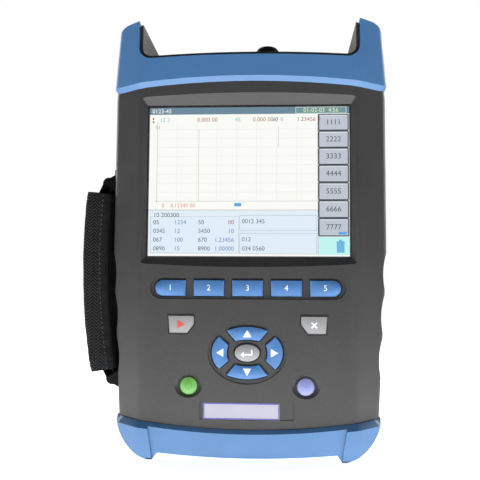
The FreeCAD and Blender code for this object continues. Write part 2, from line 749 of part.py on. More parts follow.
def trim_to_outline(body, outline, name):
    """Cuts away whatever lies outside a front outline."""
    sketch = new_sketch(body, f"{name}_lines", "XZ_Plane", 0)
    far = 2 * dims.case_width
    draw_outline(sketch, box_corners(as_size(0), dims.screen_height, far, 2 * far))
    draw_outline(sketch, outline)
    return pocket(body, sketch, 2 * dims.case_depth, name, both_ways=True)


def cut_scallops(body):
    """Finger scallops in both side walls."""
    for number in range(3):
        height = dims.scallop_first - number * dims.scallop_pitch
        place = half_width_at(height) + dims.scallop_radius - dims.scallop_cut
        for side, word in ((-1, "left"), (1, "right")):
            name = f"scallop_{word}_{number + 1}"
            sketch = new_sketch(body, f"{name}_lines", "XZ_Plane", 0)
            draw_circle(sketch, side * place, height, dims.scallop_radius)
            pocket(body, sketch, 2 * dims.case_depth, name, both_ways=True)


def casing_half(name, side):
    body = new_body(name)
    half_block(body, side, CASING, casing_levels())
    trim_to_outline(body, casing_outline(as_size(0)), "outline")
    cut_scallops(body)
    return body


def casing_envelope():
    """The casing's outer form with the bumpers' play, which is cut out of both bumpers."""
    body = new_body("casing_envelope")
    half_block(body, FRONT, ENVELOPE, casing_levels())
    half_block(body, BACK, ENVELOPE, casing_levels())
    trim_to_outline(body, casing_outline(dims.bumper_gap), "outline")
    return body


# ---------------------------------------------------------------- bumpers


def top_bumper_outline():
    """Front outline of the top bumper: arched lip, two rounded horns and the valley."""
    reach = dims.bumper_horn_round
    slope = dims.bumper_horn_slope
    side = CASE_HALF - dims.bumper_horn_side
    inner = CASE_HALF - dims.bumper_horn_inset
    touch = side - reach + reach * slope.sin()
    top = dims.bumper_horn_top - (touch - inner) * slope.tan()
    middle = top - reach * slope.cos()
    root = inner - dims.bumper_root_radius
    valley_end = dims.bumper_valley - dims.valley_drop
    drop = dims.top_lip_mid - dims.top_lip_level
    span = CASE_HALF - dims.lip_level_inset
    both_radii = (span * span + drop * drop) / (2 * drop)
    arch_radius = both_radii - dims.lip_ease_radius
    sine = span / both_radii
    ease_up = dims.top_lip_mid - arch_radius * (1 - (1 - sine * sine).root())
    outline = with_mirror([
        Corner(arch_radius * sine, ease_up, centre_across=span),
        Corner(span, dims.top_lip_level),
        Corner(OUTSIDE, dims.top_lip_level),
        Corner(OUTSIDE, middle),
        Corner(side, middle, centre_up=middle),
        Corner(touch, top),
        Corner(inner, dims.bumper_horn_top),
        Corner(inner, valley_end + dims.bumper_root_radius,
               centre_across=root, left=False),
        Corner(root, valley_end, centre_up=arch_centre(dims.bumper_valley, root, dims.valley_drop)),
    ])
    outline[-1].centre_up = dims.top_lip_mid - arch_radius
    outline[-1].left = False
    return outline


def is_lip_edge(edge, low, high):
    """Whether an edge is part of a lip's rim: in its band of heights, and not a seam below it."""
    box = edge.BoundBox
    in_band = box.ZMin > low.value - 0.05 and box.ZMax < high.value + 0.05
    return in_band and not runs_along(edge, 1)


def top_bumper(envelope):
    block = new_body("top_bumper_block")
    levels = [(dims.head_taper_height, "straight"), (dims.horn_height + dims.beyond, "head")]
    half_block(block, FRONT, TOP_BUMPER, levels)
    half_block(block, BACK, TOP_BUMPER, levels)
    trim_to_outline(block, top_bumper_outline(), "outline")
    band = dims.top_lip_level, dims.top_lip_mid
    bevel_edges(block, dims.lip_height, lambda edge: is_lip_edge(edge, *band), "lip")
    return cut_by(block, envelope, "top_bumper")


def bottom_bumper_outline():
    """Front outline of the bottom bumper: dipping lip, round corners, two feet, raised sole."""
    sole_end = CASE_HALF - dims.sole_end_inset
    foot_end = FOOT_TIP + dims.foot_width
    side = half_width_at(dims.foot_lip_side) + dims.bumper_side - dims.bumper_sink
    outline = with_mirror([
        Corner(sole_end, dims.sole_end),
        Corner(FOOT_TIP, 0),
        Corner(foot_end, 0, centre_up=dims.foot_round),
        Corner(side, dims.foot_lip_side),
        Corner(FOOT_KINK, dims.foot_lip_kink,
               centre_up=arch_centre(dims.foot_lip_mid, FOOT_KINK,
                                     dims.foot_lip_mid - dims.foot_lip_kink), left=False),
    ])
    outline[-1].centre_up = arch_centre(dims.sole_mid, sole_end, dims.sole_mid - dims.sole_end)
    return outline


def bottom_bumper(envelope):
    block = new_body("bottom_bumper_block")
    levels = [(-dims.case_bottom, "low"), (dims.foot_lip_side + dims.beyond, "low")]
    half_block(block, FRONT, CORNER_BUMPER, levels)
    half_block(block, BACK, CORNER_BUMPER, levels)
    trim_to_outline(block, bottom_bumper_outline(), "outline")
    band = dims.foot_lip_mid, dims.foot_lip_side
    bevel_edges(block, dims.lip_height, lambda edge: is_lip_edge(edge, *band), "lip")
    step_down_middle(block, FRONT)
    step_down_middle(block, BACK)
    return cut_by(block, envelope, "bottom_bumper")


def step_down_middle(block, side):
    """The stretch between the two corner bumpers lies a step lower than they do."""
    word = "front" if side == FRONT else "back"
    above = dims.beyond
    face = (FRONT_FACE if side == FRONT else BACK_FACE) + side * dims.corner_face
    sketch = new_sketch(block, f"middle_{word}_lines", "XZ_Plane", -(face + side * above))
    draw_outline(sketch, with_mirror([
        Corner(FOOT_TIP, as_size(0)),
        Corner(FOOT_KINK, dims.foot_lip_side),
    ]))
    pocket(block, sketch, dims.ridge_step + above, f"middle_{word}", reverse=side == BACK)


def cut_by(base, tool, name):
    """A part that is one form less another."""
    result = DOC.addObject("Part::Cut", name)
    result.Label = name
    result.Base = base
    result.Tool = tool
    return finish_feature(result, result)


# ---------------------------------------------------------------- keys

SCREEN = dims.screen_height
KEY_FACE = FRONT_FACE + dims.front_wall
LENS_FACE = KEY_FACE - dims.lens_sink
FLANGE_BACK = KEY_FACE + dims.flange_play + dims.flange_thick
MAT_FACE = FLANGE_BACK + dims.key_travel + dims.mat_play
BOARD_FACE = FRONT_FACE + dims.board_depth


class Key:
    """A front key: its outline, where it sits and how deep its top lies."""

    def __init__(self, name, draw, across, drop, top):
        self.name = name
        self.draw = draw
        self.across = as_size(across)
        self.up = SCREEN - drop
        self.top = FRONT_FACE + top


def soft_key_shape(number):
    """Outline of a soft key: the outer end of the first and the last one is round."""
    def draw(sketch, across, up, grow):
        half = dims.soft_width / 2 + grow
        tall = dims.soft_tall / 2 + grow
        left, right = across - half, across + half
        square_left = [Corner(left, up + tall), Corner(left, up - tall)]
        square_right = [Corner(right, up - tall), Corner(right, up + tall)]
        round_left = [
            Corner(left + tall, up + tall, centre_up=up),
            Corner(left, up, centre_up=up),
            Corner(left + tall, up - tall),
        ]
        round_right = [
            Corner(right - tall, up - tall, centre_up=up),
            Corner(right, up, centre_up=up),
            Corner(right - tall, up + tall),
        ]
        draw_outline(sketch, (round_left if number == 1 else square_left)
                     + (round_right if number == 5 else square_right))
    return draw


def side_key_shape(side):
    """Outline of the start key (side -1) or escape key (side 1)."""
    def draw(sketch, across, up, grow):
        half = dims.side_key_width / 2 + grow
        tall = dims.side_key_tall / 2 + grow
        lean = dims.side_key_lean
        inner_low = half - dims.side_key_cut
        corners = [
            Corner(across + side * (half - lean), up - tall),
            Corner(across + side * half, up + tall),
            Corner(across - side * half, up + tall),
            Corner(across - side * half, up - tall + dims.side_key_cut_tall),
            Corner(across - side * inner_low, up - tall),
        ]
        draw_outline(sketch, corners if side > 0 else corners[::-1])
    return draw


def tall_arrow_shape(side):
    """Outline of the up key (side 1) or down key (side -1), round the centre of the pad."""
    def draw(sketch, across, up, grow):
        outer = dims.arrow_outer_tall + grow
        inner = dims.arrow_inner_tall - grow
        wide = dims.arrow_half_width + grow
        tip = dims.arrow_tip_half + grow
        outer_drop = dims.tall_outer_sag
        inner_drop = dims.tall_inner_sag
        corners = [
            Corner(across - side * tip, up + side * (inner - inner_drop),
                   centre_up=up + side * arch_centre(inner, tip, inner_drop), left=False),
            Corner(across + side * tip, up + side * (inner - inner_drop)),
            Corner(across + side * wide, up + side * (outer - outer_drop),
                   centre_up=up + side * arch_centre(outer, wide, outer_drop)),
            Corner(across - side * wide, up + side * (outer - outer_drop)),
        ]
        draw_outline(sketch, corners)
    return draw


def wide_arrow_shape(side):
    """Outline of the left key (side -1) or right key (side 1), round the centre of the pad."""
    def draw(sketch, across, up, grow):
        outer = dims.arrow_outer_wide + grow
        inner = dims.arrow_inner_wide - grow
        tall = dims.arrow_half_tall + grow
        tip = dims.arrow_tip_tall + grow
        outer_drop = dims.wide_outer_sag
        inner_drop = dims.wide_inner_sag
        corners = [
            Corner(across + side * (inner - inner_drop), up + side * tip,
                   centre_across=across + side * arch_centre(inner, tip, inner_drop), left=False),
            Corner(across + side * (inner - inner_drop), up - side * tip),
            Corner(across + side * (outer - outer_drop), up - side * tall,
                   centre_across=across + side * arch_centre(outer, tall, outer_drop)),
            Corner(across + side * (outer - outer_drop), up + side * tall),
        ]
        draw_outline(sketch, corners)
    return draw


def enter_shape(sketch, across, up, grow):
    draw_ellipse(sketch, across, up, dims.enter_half_width + grow, dims.enter_half_tall + grow)


def round_shape(sketch, across, up, grow):
    draw_circle(sketch, across, up, dims.round_key_radius + grow)


def all_keys():
    soft = [
        Key(f"soft_key_{number}", soft_key_shape(number), (number - 3) * dims.soft_pitch,
            dims.soft_row_drop, dims.soft_top)
        for number in range(1, 6)
    ]
    side_keys = dims.side_key_centre, dims.side_key_drop, dims.side_key_top
    rounds = dims.round_key_centre, dims.round_key_drop, dims.round_key_top
    pad_place = 0, dims.pad_drop, dims.arrow_top
    return soft + [
        Key("start_key", side_key_shape(-1), -side_keys[0], *side_keys[1:]),
        Key("escape_key", side_key_shape(1), *side_keys),
        Key("arrow_up_key", tall_arrow_shape(1), *pad_place),
        Key("arrow_down_key", tall_arrow_shape(-1), *pad_place),
        Key("arrow_left_key", wide_arrow_shape(-1), *pad_place),
        Key("arrow_right_key", wide_arrow_shape(1), *pad_place),
        Key("enter_key", enter_shape, 0, dims.pad_drop, dims.enter_top),
        Key("power_key", round_shape, -rounds[0], *rounds[1:]),
        Key("light_key", round_shape, *rounds),
    ]


KEYS = all_keys()


def key_body(key):
    """A key: its cap, guided by the hole in the front shell, and the flange that keeps it in."""
    body = new_body(key.name)
    bind(body, "Placement.Base.x", key.across)
    bind(body, "Placement.Base.y", key.top)
    bind(body, "Placement.Base.z", key.up)
    flange_face = KEY_FACE + dims.flange_play - key.top
    cap = new_sketch(body, "cap_lines", "XZ_Plane", 0)
    key.draw(cap, as_size(0), as_size(0), as_size(0))
    pad(body, cap, flange_face + dims.flange_thick, "cap", reverse=True)
    flange = new_sketch(body, "flange_lines", "XZ_Plane", -flange_face)
    key.draw(flange, as_size(0), as_size(0), dims.key_gap + dims.key_flange)
    pad(body, flange, dims.flange_thick, "flange", reverse=True)
    round_edges(body, dims.key_round, lambda edge: lies_at(edge, 1, 0), "top_edge")
    return body


# ---------------------------------------------------------------- front shell


def bezel_section(body, name, depth):
    """The bezel's rounded, arched outline at a depth below the front face."""
    share = 1 - depth / dims.bezel_depth
    half = dims.screen_width / 2 + dims.screen_border + dims.bezel_side * share
    tall = dims.screen_tall / 2 + dims.screen_border
    top = SCREEN + tall + dims.bezel_top * share
    low = SCREEN - tall - dims.bezel_bottom * share
    rise = dims.bezel_rise * share + dims.bezel_foot_arch
    dip = dims.bezel_dip * share + dims.bezel_foot_arch
    turn = dims.bezel_round * share + dims.bezel_foot_round
    span = half - turn
    corners = [
        Corner(-span, low, centre_up=low + (span * span - dip * dip) / (2 * dip)),
        Corner(span, low, centre_across=span),
        Corner(half, low + turn),
        Corner(half, top - turn, centre_up=top - turn),
        Corner(span, top, centre_up=arch_centre(top + rise, span, rise)),
        Corner(-span, top, centre_across=-span),
        Corner(-half, top - turn),
        Corner(-half, low + turn, centre_up=low + turn),
    ]
    sketch = new_sketch(body, name, "XZ_Plane", -(FRONT_FACE + depth))
    draw_outline(sketch, corners)
    return sketch


def front_pocket(body, name, depth, draw):
    """A pocket from outside the front face down to a depth."""
    above = dims.crease_blend
    sketch = new_sketch(body, f"{name}_lines", "XZ_Plane", -(FRONT_FACE - above))
    draw(sketch)
    return pocket(body, sketch, depth + above, name)


def dish(body, name, across):
    """A shallow dish round a round key: an ellipse at the surface, a circle at its floor."""
    up = SCREEN - dims.round_key_drop
    slope = dims.dish_flare
    rim = new_sketch(body, f"{name}_rim", "XZ_Plane", -(FRONT_FACE - slope))
    draw_ellipse(rim, across, up, dims.dish_half_width + slope, dims.dish_half_tall + slope)
    floor = new_sketch(body, f"{name}_floor", "XZ_Plane", -(FRONT_FACE + dims.dish_depth))
    hole = dims.round_key_radius + dims.key_gap
    draw_ellipse(floor, across, up, hole + dims.dish_floor_wide, hole + dims.dish_floor_tall)
    return loft(body, [rim, floor], name, cut=True)


def boss_places():
    """Screw bosses: two low down and two high up."""
    return [
        (side * (CASE_HALF - inset), height)
        for inset, height in ((dims.boss_inset_low, dims.boss_low),
                              (dims.boss_inset_high, dims.boss_high))
        for side in (-1, 1)
    ]


def boss_pads(body, face, length, reverse):
    """Solid screw bosses between a shell's wall and the parting plane."""
    sketch = new_sketch(body, "boss_lines", "XZ_Plane", -face)
    for across, up in boss_places():
        draw_circle(sketch, across, up, dims.boss_radius)
    return pad(body, sketch, length, "bosses", reverse=reverse)


def board_posts(body):
    """Posts on the front wall: long ones for the main board, short ones for the keypad."""
    for name, heights, end in (
        ("main_posts", (dims.post_low, dims.post_mid, dims.post_high), BOARD_FACE),
        ("keypad_posts", (dims.keypad_post_low, dims.keypad_post_high), MAT_FACE),
    ):
        sketch = new_sketch(body, f"{name}_lines", "XZ_Plane", -(KEY_FACE - dims.overlap))
        for up in heights:
            for side in (-1, 1):
                draw_circle(sketch, side * dims.post_half, up, dims.post_radius)
        pad(body, sketch, end - KEY_FACE + dims.overlap, name, reverse=True)


def panel_opening(body):
    """The shell's half of the opening for the connector panel, with the ledge under it."""
    top = dims.valley_height + dims.overlap
    floor = dims.valley_height - dims.panel_drop - dims.panel_thick
    half, deep = dims.panel_half + dims.panel_gap, dims.panel_depth / 2 + dims.panel_gap
    for name, inset, low in (("panel_seat", 0, floor),
                             ("panel_hole", dims.panel_ledge, dims.cavity_top - dims.overlap)):
        sketch = new_sketch(body, f"{name}_lines", "XY_Plane", top)
        draw_outline(sketch, box_corners(as_size(0), PARTING, 2 * (half - inset), 2 * (deep - inset)))
        pocket(body, sketch, top - low, name)


def front_shell():
    body = casing_half("front_shell", FRONT)
    hollow = [(dims.cavity_bottom, "low"), (dims.taper_height, "straight"),
              (dims.cavity_top, "straight")]
    half_block(body, FRONT, FRONT_HOLLOW, hollow, cut=True)
    boss_face = FRONT_FACE + dims.boss_start
    boss_pads(body, boss_face, PARTING - boss_face, True)
    board_posts(body)
    panel_opening(body)
    loft(body, [bezel_section(body, "bezel_rim", -dims.bezel_side / 2),
                bezel_section(body, "bezel_foot", dims.bezel_depth)], "bezel", cut=True)
    rebate = new_sketch(body, "lens_rebate_lines", "XZ_Plane", -LENS_FACE)
    draw_outline(rebate, box_corners(as_size(0), SCREEN,
                                     *display_size(dims.lens_seat + dims.lens_play)))
    pocket(body, rebate, dims.lens_thick + dims.gasket_thick + dims.module_thick, "lens_rebate")
    opening_wide, opening_tall = display_size(as_size(0))
    deep = dims.front_wall + dims.overlap
    front_pocket(body, "display_opening", deep, lambda sketch: draw_outline(
        sketch, box_corners(as_size(0), SCREEN, opening_wide, opening_tall)))
    front_pocket(body, "soft_key_trough", dims.trough_depth, lambda sketch: draw_outline(
        sketch, round_box_corners(as_size(0), SCREEN - dims.soft_row_drop, 2 * dims.trough_half,
                                  dims.trough_tall, (dims.trough_tall - dims.trough_end) / 2)))
    front_pocket(body, "arrow_pad", dims.pad_depth, lambda sketch: draw_ellipse(
        sketch, as_size(0), SCREEN - dims.pad_drop, dims.pad_half_width, dims.pad_half_tall))
    front_pocket(body, "label_recess", dims.label_depth, lambda sketch: draw_outline(
        sketch, round_box_corners(as_size(0), SCREEN - dims.label_drop, 2 * dims.label_half,
                                  dims.label_tall, dims.label_round)))
    dish(body, "power_dish", -dims.round_key_centre)
    dish(body, "light_dish", dims.round_key_centre)
    for key in KEYS:
        front_pocket(body, f"{key.name}_hole", deep, lambda sketch, key=key: key.draw(
            sketch, key.across, key.up, dims.key_gap))
    screw_holes = new_sketch(body, "screw_hole_lines", "XZ_Plane", -PARTING)
    for across, up in boss_places():
        draw_circle(screw_holes, across, up, dims.screw_radius + dims.screw_play)
    pocket(body, screw_holes, dims.screw_reach + dims.screw_tip_play, "screw_holes", reverse=True)
    return body


# ---------------------------------------------------------------- back shell

DOOR_FACE = BACK_FACE - dims.door_thick
STAND_HALF = CASE_HALF - dims.stand_inset
BAY_FLOOR = DOOR_FACE - dims.battery_depth - dims.battery_gap
STAND_AXIS = BACK_FACE - dims.stand_thick / 2 - dims.stand_gap


def back_pocket(body, name, depth, draw):
    """A pocket from outside the back face down to a depth."""
    above = dims.beyond
    sketch = new_sketch(body, f"{name}_lines", "XZ_Plane", -(BACK_FACE + above))
    draw(sketch)
    return pocket(body, sketch, depth + above, name, reverse=True)


def door_middle():
    return dims.door_low + dims.door_tall / 2


def door_corners(grow):
    return round_box_corners(as_size(0), door_middle(), dims.door_width + 2 * grow,
                             dims.door_tall + 2 * grow, dims.door_round + grow)


def bay_corners(grow):
    inset = dims.door_ledge
    return box_corners(as_size(0), door_middle(), dims.door_width - 2 * (inset - grow),
                       dims.door_tall - 2 * (inset - grow))


def stand_channel_corners():
    """The channel for the tilt stand: an upside-down U round the battery door."""
    gap = dims.stand_gap
    outer = STAND_HALF + gap
    inner = STAND_HALF - dims.stand_leg - gap
    top = dims.stand_pivot + dims.stand_thick / 2 + gap
    low = dims.stand_low - gap
    bar = dims.stand_low + dims.stand_leg + gap
    return [
        Corner(-outer, low),
        Corner(outer, low),
        Corner(outer, top),
        Corner(inner, top),
        Corner(inner, bar),
        Corner(-inner, bar),
        Corner(-inner, top),
        Corner(-outer, top),
    ]


def pin_hole(body):
    """One straight hole through both channel walls for the hinge pins of the tilt stand."""
    outer = STAND_HALF + dims.stand_gap + dims.stand_pin_reach
    for side, word in ((-1, "left"), (1, "right")):
        middle = side * (STAND_HALF - dims.stand_leg / 2)
        sketch = new_sketch(body, f"pin_{word}_lines", "YZ_Plane", middle)
        draw_circle(sketch, STAND_AXIS, dims.stand_pivot, dims.stand_pin_radius + dims.stand_pin_play)
        length = 2 * (outer - STAND_HALF + dims.stand_leg / 2)
        pocket(body, sketch, length, f"pin_hole_{word}", both_ways=True)


def screw_head_pockets(body):
    """Screw holes through the back shell, with sunk seats for the heads."""
    gap = dims.screw_play
    for name, radius, depth in (
        ("screw_holes", dims.screw_radius + gap, dims.case_depth),
        ("head_seats", dims.screw_head_radius + gap, dims.screw_sink + dims.screw_head_tall),
    ):
        sketch = new_sketch(body, f"{name}_lines", "XZ_Plane", -BACK_FACE)
        for across, up in boss_places():
            draw_circle(sketch, across, up, radius)
        pocket(body, sketch, depth, name, reverse=True)


def back_shell():
    body = casing_half("back_shell", BACK)
    hollow = [(dims.cavity_bottom, "low"), (dims.taper_height, "straight"),
              (dims.cavity_top, "straight")]
    half_block(body, BACK, BACK_HOLLOW, hollow, cut=True)
    boss_pads(body, PARTING, BACK_FACE - dims.back_wall - PARTING + dims.overlap, True)
    bay = new_sketch(body, "bay_wall_lines", "XZ_Plane", -BAY_FLOOR + dims.bay_wall)
    draw_outline(bay, bay_corners(dims.bay_wall))
    pad(body, bay, BACK_FACE - dims.back_wall - BAY_FLOOR + dims.bay_wall + dims.overlap,
        "bay_walls", reverse=True)
    panel_opening(body)
    back_pocket(body, "door_recess", dims.door_thick,
                lambda sketch: draw_outline(sketch, door_corners(dims.door_gap)))
    back_pocket(body, "battery_bay", BACK_FACE - BAY_FLOOR,
                lambda sketch: draw_outline(sketch, bay_corners(as_size(0))))
    back_pocket(body, "stand_channel", dims.stand_thick + 2 * dims.stand_gap,
                lambda sketch: draw_outline(sketch, stand_channel_corners()))
    back_pocket(body, "stand_finger_notch", dims.stand_thick, lambda sketch: draw_outline(
        sketch, box_corners(as_size(0), dims.stand_low - dims.stand_gap, 2 * dims.notch_half,
                            dims.notch_tall)))
    back_pocket(body, "door_screw_holes",
                dims.door_thick + dims.door_screw_reach + dims.screw_tip_play,
                lambda sketch: draw_door_screws(sketch, dims.screw_radius + dims.screw_play))
    pin_hole(body)
    screw_head_pockets(body)
    return body


def battery_door():
    """The battery door, with two sunk screw holes at its upper corners."""
    body = new_body("battery_door")
    plate = new_sketch(body, "plate_lines", "XZ_Plane", -DOOR_FACE)
    draw_outline(plate, door_corners(as_size(0)))
    pad(body, plate, dims.door_thick, "plate", reverse=True)
    for name, radius, depth in (
        ("screw_holes", dims.screw_radius + dims.screw_play, dims.door_thick),
        ("head_seats", dims.screw_head_radius + dims.screw_play, dims.door_thick / 2),
    ):
        sketch = new_sketch(body, f"{name}_lines", "XZ_Plane", -BACK_FACE)
        draw_door_screws(sketch, radius)
        pocket(body, sketch, depth, name, reverse=True)
    return body


def draw_door_screws(sketch, radius):
    for across, up in door_screw_places():
        draw_circle(sketch, across, up, radius)


def door_screw_places():
    inset = dims.door_ledge / 2
    return [(side * (dims.door_width / 2 - inset), dims.door_low + dims.door_tall - inset)
            for side in (-1, 1)]


def tilt_stand():
    """U-shaped stand: two legs, a cross bar and rounded hinge eyes, folded into the back."""
    body = new_body("tilt_stand")
    half, leg, thick = STAND_HALF, dims.stand_leg, dims.stand_thick
    face = STAND_AXIS - thick / 2
    inner = half - leg
    frame = new_sketch(body, "frame_lines", "XZ_Plane", -face)
    draw_outline(frame, [
        Corner(-half, dims.stand_low),
        Corner(half, dims.stand_low),
        Corner(half, dims.stand_pivot),
        Corner(inner, dims.stand_pivot),
        Corner(inner, dims.stand_low + leg),
        Corner(-inner, dims.stand_low + leg),
        Corner(-inner, dims.stand_pivot),
        Corner(-half, dims.stand_pivot),
    ])
    pad(body, frame, thick, "frame", reverse=True)
    for side, word in ((-1, "left"), (1, "right")):
        middle = side * (half - leg / 2)
        eye = new_sketch(body, f"eye_{word}_lines", "YZ_Plane", middle)
        draw_circle(eye, STAND_AXIS, dims.stand_pivot, thick / 2)
        pad(body, eye, leg, f"eye_{word}", both_ways=True)
        bore = new_sketch(body, f"bore_{word}_lines", "YZ_Plane", middle)
        draw_circle(bore, STAND_AXIS, dims.stand_pivot, dims.stand_pin_radius + dims.stand_pin_play)
        pocket(body, bore, 2 * leg, f"bore_{word}", both_ways=True)
    return body


def stand_hinge_pins():
    """The two hinge pins of the tilt stand, as two solids of one node."""
    length = dims.stand_leg + 2 * (dims.stand_gap + dims.stand_pin_reach - dims.stand_pin_end)
    pins = []
    for side, word in ((-1, "left"), (1, "right")):
        pin = DOC.addObject("Part::Cylinder", f"pin_{word}")
        bind(pin, "Radius", dims.stand_pin_radius)
        bind(pin, "Height", length)
        pin.Placement.Rotation = FreeCAD.Rotation(FreeCAD.Vector(0, 1, 0), 90)
        middle = side * (STAND_HALF - dims.stand_leg / 2)
        bind(pin, "Placement.Base.x", middle - length / 2)
        bind(pin, "Placement.Base.y", STAND_AXIS)
        bind(pin, "Placement.Base.z", dims.stand_pivot)
        pins.append(pin)
    return group("stand_hinge_pins", pins)


# ---------------------------------------------------------------- plain pieces


def group(name, members):
    """Several identical loose pieces that share one node."""
    result = DOC.addObject("Part::Compound", name)
    result.Label = name
    result.Links = members
    return finish_feature(result, result)


def place(thing, across, deep, up):
    bind(thing, "Placement.Base.x", across)
    bind(thing, "Placement.Base.y", deep)
    bind(thing, "Placement.Base.z", up)


def plate(name, across, deep, up, wide, thick, tall):
    """A plain plate or block: centre across and up, front face at deep."""
    result = DOC.addObject("Part::Box", name)
    result.Label = name
    bind(result, "Length", wide)
    bind(result, "Width", thick)
    bind(result, "Height", tall)
    place(result, across - wide / 2, deep, up - tall / 2)
    return finish_feature(result, result)


def upright_cylinder(name, across, deep, up, radius, tall):
    result = DOC.addObject("Part::Cylinder", name)
    result.Label = name
    bind(result, "Radius", radius)
    bind(result, "Height", tall)
    place(result, across, deep, up)
    return finish_feature(result, result)


def machine_screw(name, reach, radius, head_radius, head_tall):
    """A pan-head screw with its head's top at the origin, pointing along +Z."""
    body = new_body(name)
    profile = new_sketch(body, "profile", "XZ_Plane", 0)
    draw_outline(profile, [
        Corner(0, 0),
        Corner(head_radius, 0),
        Corner(head_radius, head_tall),
        Corner(radius, head_tall),
        Corner(radius, reach),
        Corner(0, reach),
    ])
    turn = body.newObject("PartDesign::Revolution", "turned")
    turn.Profile = profile
    turn.ReferenceAxis = (profile, ["V_Axis"])
    turn.Angle = 360
    finish_feature(body, turn)
    return body


def screw_set(name, master, places, rotation):
    """Copies of one screw: places are (across, deep, up) of their heads' tops."""
    links = []
    for number, (across, deep, up) in enumerate(places, 1):
        link = DOC.addObject("App::Link", f"{name}_{number}")
        link.LinkedObject = master
        link.Placement.Rotation = rotation
        place(link, across, deep, up)
        links.append(link)
    return group(name, links)


# ---------------------------------------------------------------- display stack

GASKET_FACE = LENS_FACE + dims.lens_thick
MODULE_FACE = GASKET_FACE + dims.gasket_thick


def display_size(rim):
    """Outside size of a display layer that reaches rim beyond the display opening."""
    wide = dims.screen_width + 2 * (dims.screen_border + rim)
    tall = dims.screen_tall + 2 * (dims.screen_border + rim)
    return wide, tall


def display_parts():
    wide, tall = display_size(dims.lens_seat)
    lens = plate("screen_lens", 0, LENS_FACE, SCREEN, wide, dims.lens_thick, tall)
    gasket = new_body("screen_gasket")
    lines = new_sketch(gasket, "lines", "XZ_Plane", -GASKET_FACE)
    draw_outline(lines, box_corners(as_size(0), SCREEN, wide, tall))
    inner = box_corners(as_size(0), SCREEN, *display_size(dims.lens_seat - dims.gasket_rim))
    draw_outline(lines, inner)
    pad(gasket, lines, dims.gasket_thick, "frame", reverse=True)
    module = plate("display_module", 0, MODULE_FACE, SCREEN, wide, dims.module_thick, tall)
    return [lens, gasket, module]


# ---------------------------------------------------------------- keypad stack

KEYBOARD_FACE = MAT_FACE + dims.mat_thick


def keypad_parts():
    """Rubber mat and circuit board behind the keys, carried by four short posts."""
    top = SCREEN - dims.soft_row_drop + dims.soft_tall / 2 + dims.keyboard_rim
    low = SCREEN - dims.round_key_drop - dims.round_key_radius - dims.keyboard_rim
    wide = 2 * (2 * dims.soft_pitch + dims.soft_width / 2 + dims.keyboard_rim)
    middle, tall = (top + low) / 2, top - low
    mat = plate("keypad_mat", 0, MAT_FACE, middle, wide, dims.mat_thick, tall)
    board = plate("keypad_board", 0, KEYBOARD_FACE, middle, wide, dims.keyboard_thick, tall)
    return [mat, board]


def label_plate():
    left = dims.label_left - dims.label_half
    face = FRONT_FACE + dims.label_depth - dims.label_thick
    return plate("label_plate", left + dims.label_length / 2, face, SCREEN - dims.label_drop,
                 dims.label_length, dims.label_thick, dims.label_tall - 2 * dims.label_play)


# ---------------------------------------------------------------- electronics


def electronics():
    board_tall = dims.board_high - dims.board_low
    board = plate("main_board", 0, BOARD_FACE, dims.board_low + board_tall / 2,
                  2 * dims.board_half, dims.board_thick, board_tall)
    back = BOARD_FACE + dims.board_thick
    spacers = []
    for side in (-1, 1):
        for up in (dims.optics_low + dims.standoff_inset,
                   dims.optics_low + dims.optics_tall - dims.standoff_inset):
            across = side * (dims.optics_width / 2 - dims.standoff_inset)
            spacer = upright_cylinder(f"spacer_{len(spacers) + 1}", across, back, up,
                                      dims.standoff_radius, dims.standoff_tall)
            spacer.Placement.Rotation = FreeCAD.Rotation(FreeCAD.Vector(1, 0, 0), -90)
            spacers.append(spacer)
    standoffs = group("board_spacers", spacers)
    optics = plate("optical_module", 0, back + dims.standoff_tall,
                   dims.optics_low + dims.optics_tall / 2, dims.optics_width, dims.optics_depth,
                   dims.optics_tall)
    inset = dims.door_ledge + dims.battery_gap
    battery = plate("battery_pack", 0, BAY_FLOOR + dims.battery_gap / 2, door_middle(),
                    dims.door_width - 2 * inset, dims.battery_depth, dims.door_tall - 2 * inset)
    return [board, standoffs, optics, battery]


# ---------------------------------------------------------------- connectors

PANEL_TOP = dims.valley_height - dims.panel_drop


def connector_panel():
    """The panel in the valley, held between the two shells, with holes for the ports."""
    body = new_body("connector_panel")
    low = PANEL_TOP - dims.panel_thick
    lines = new_sketch(body, "plate_lines", "XY_Plane", low)
    draw_outline(lines, box_corners(as_size(0), PARTING, 2 * dims.panel_half, dims.panel_depth))
    draw_circle(lines, dims.port_place, PARTING, dims.port_radius + dims.panel_gap)
    draw_circle(lines, -dims.visual_place, PARTING, dims.visual_radius + dims.panel_gap)
    draw_circle(lines, -dims.jack_place, PARTING, dims.jack_radius + dims.panel_gap)
    draw_outline(lines, box_corners(dims.usb_place, PARTING, dims.usb_width + 2 * dims.panel_gap,
                                    dims.usb_depth + 2 * dims.panel_gap))
    pad(body, lines, dims.panel_thick, "plate")
    return body


def optical_port(name, across, flange, radius, tall):
    """A bulkhead port: square flange on the panel, barrel above and below, ferrule bore."""
    body = new_body(name)
    place(body, across, PARTING, PANEL_TOP)
    base = new_sketch(body, "flange_lines", "XY_Plane", 0)
    draw_outline(base, round_box_corners(as_size(0), as_size(0), flange, flange,
                                         dims.flange_round))
    pad(body, base, dims.flange_plate, "flange")
    barrel = new_sketch(body, "barrel_lines", "XY_Plane", -dims.port_depth)
    draw_circle(barrel, 0, 0, radius)
    pad(body, barrel, dims.port_depth + dims.flange_plate + tall, "barrel")
    bore = new_sketch(body, "bore_lines", "XY_Plane", dims.flange_plate + tall)
    draw_circle(bore, 0, 0, dims.port_bore)
    pocket(body, bore, tall, "bore")
    return body


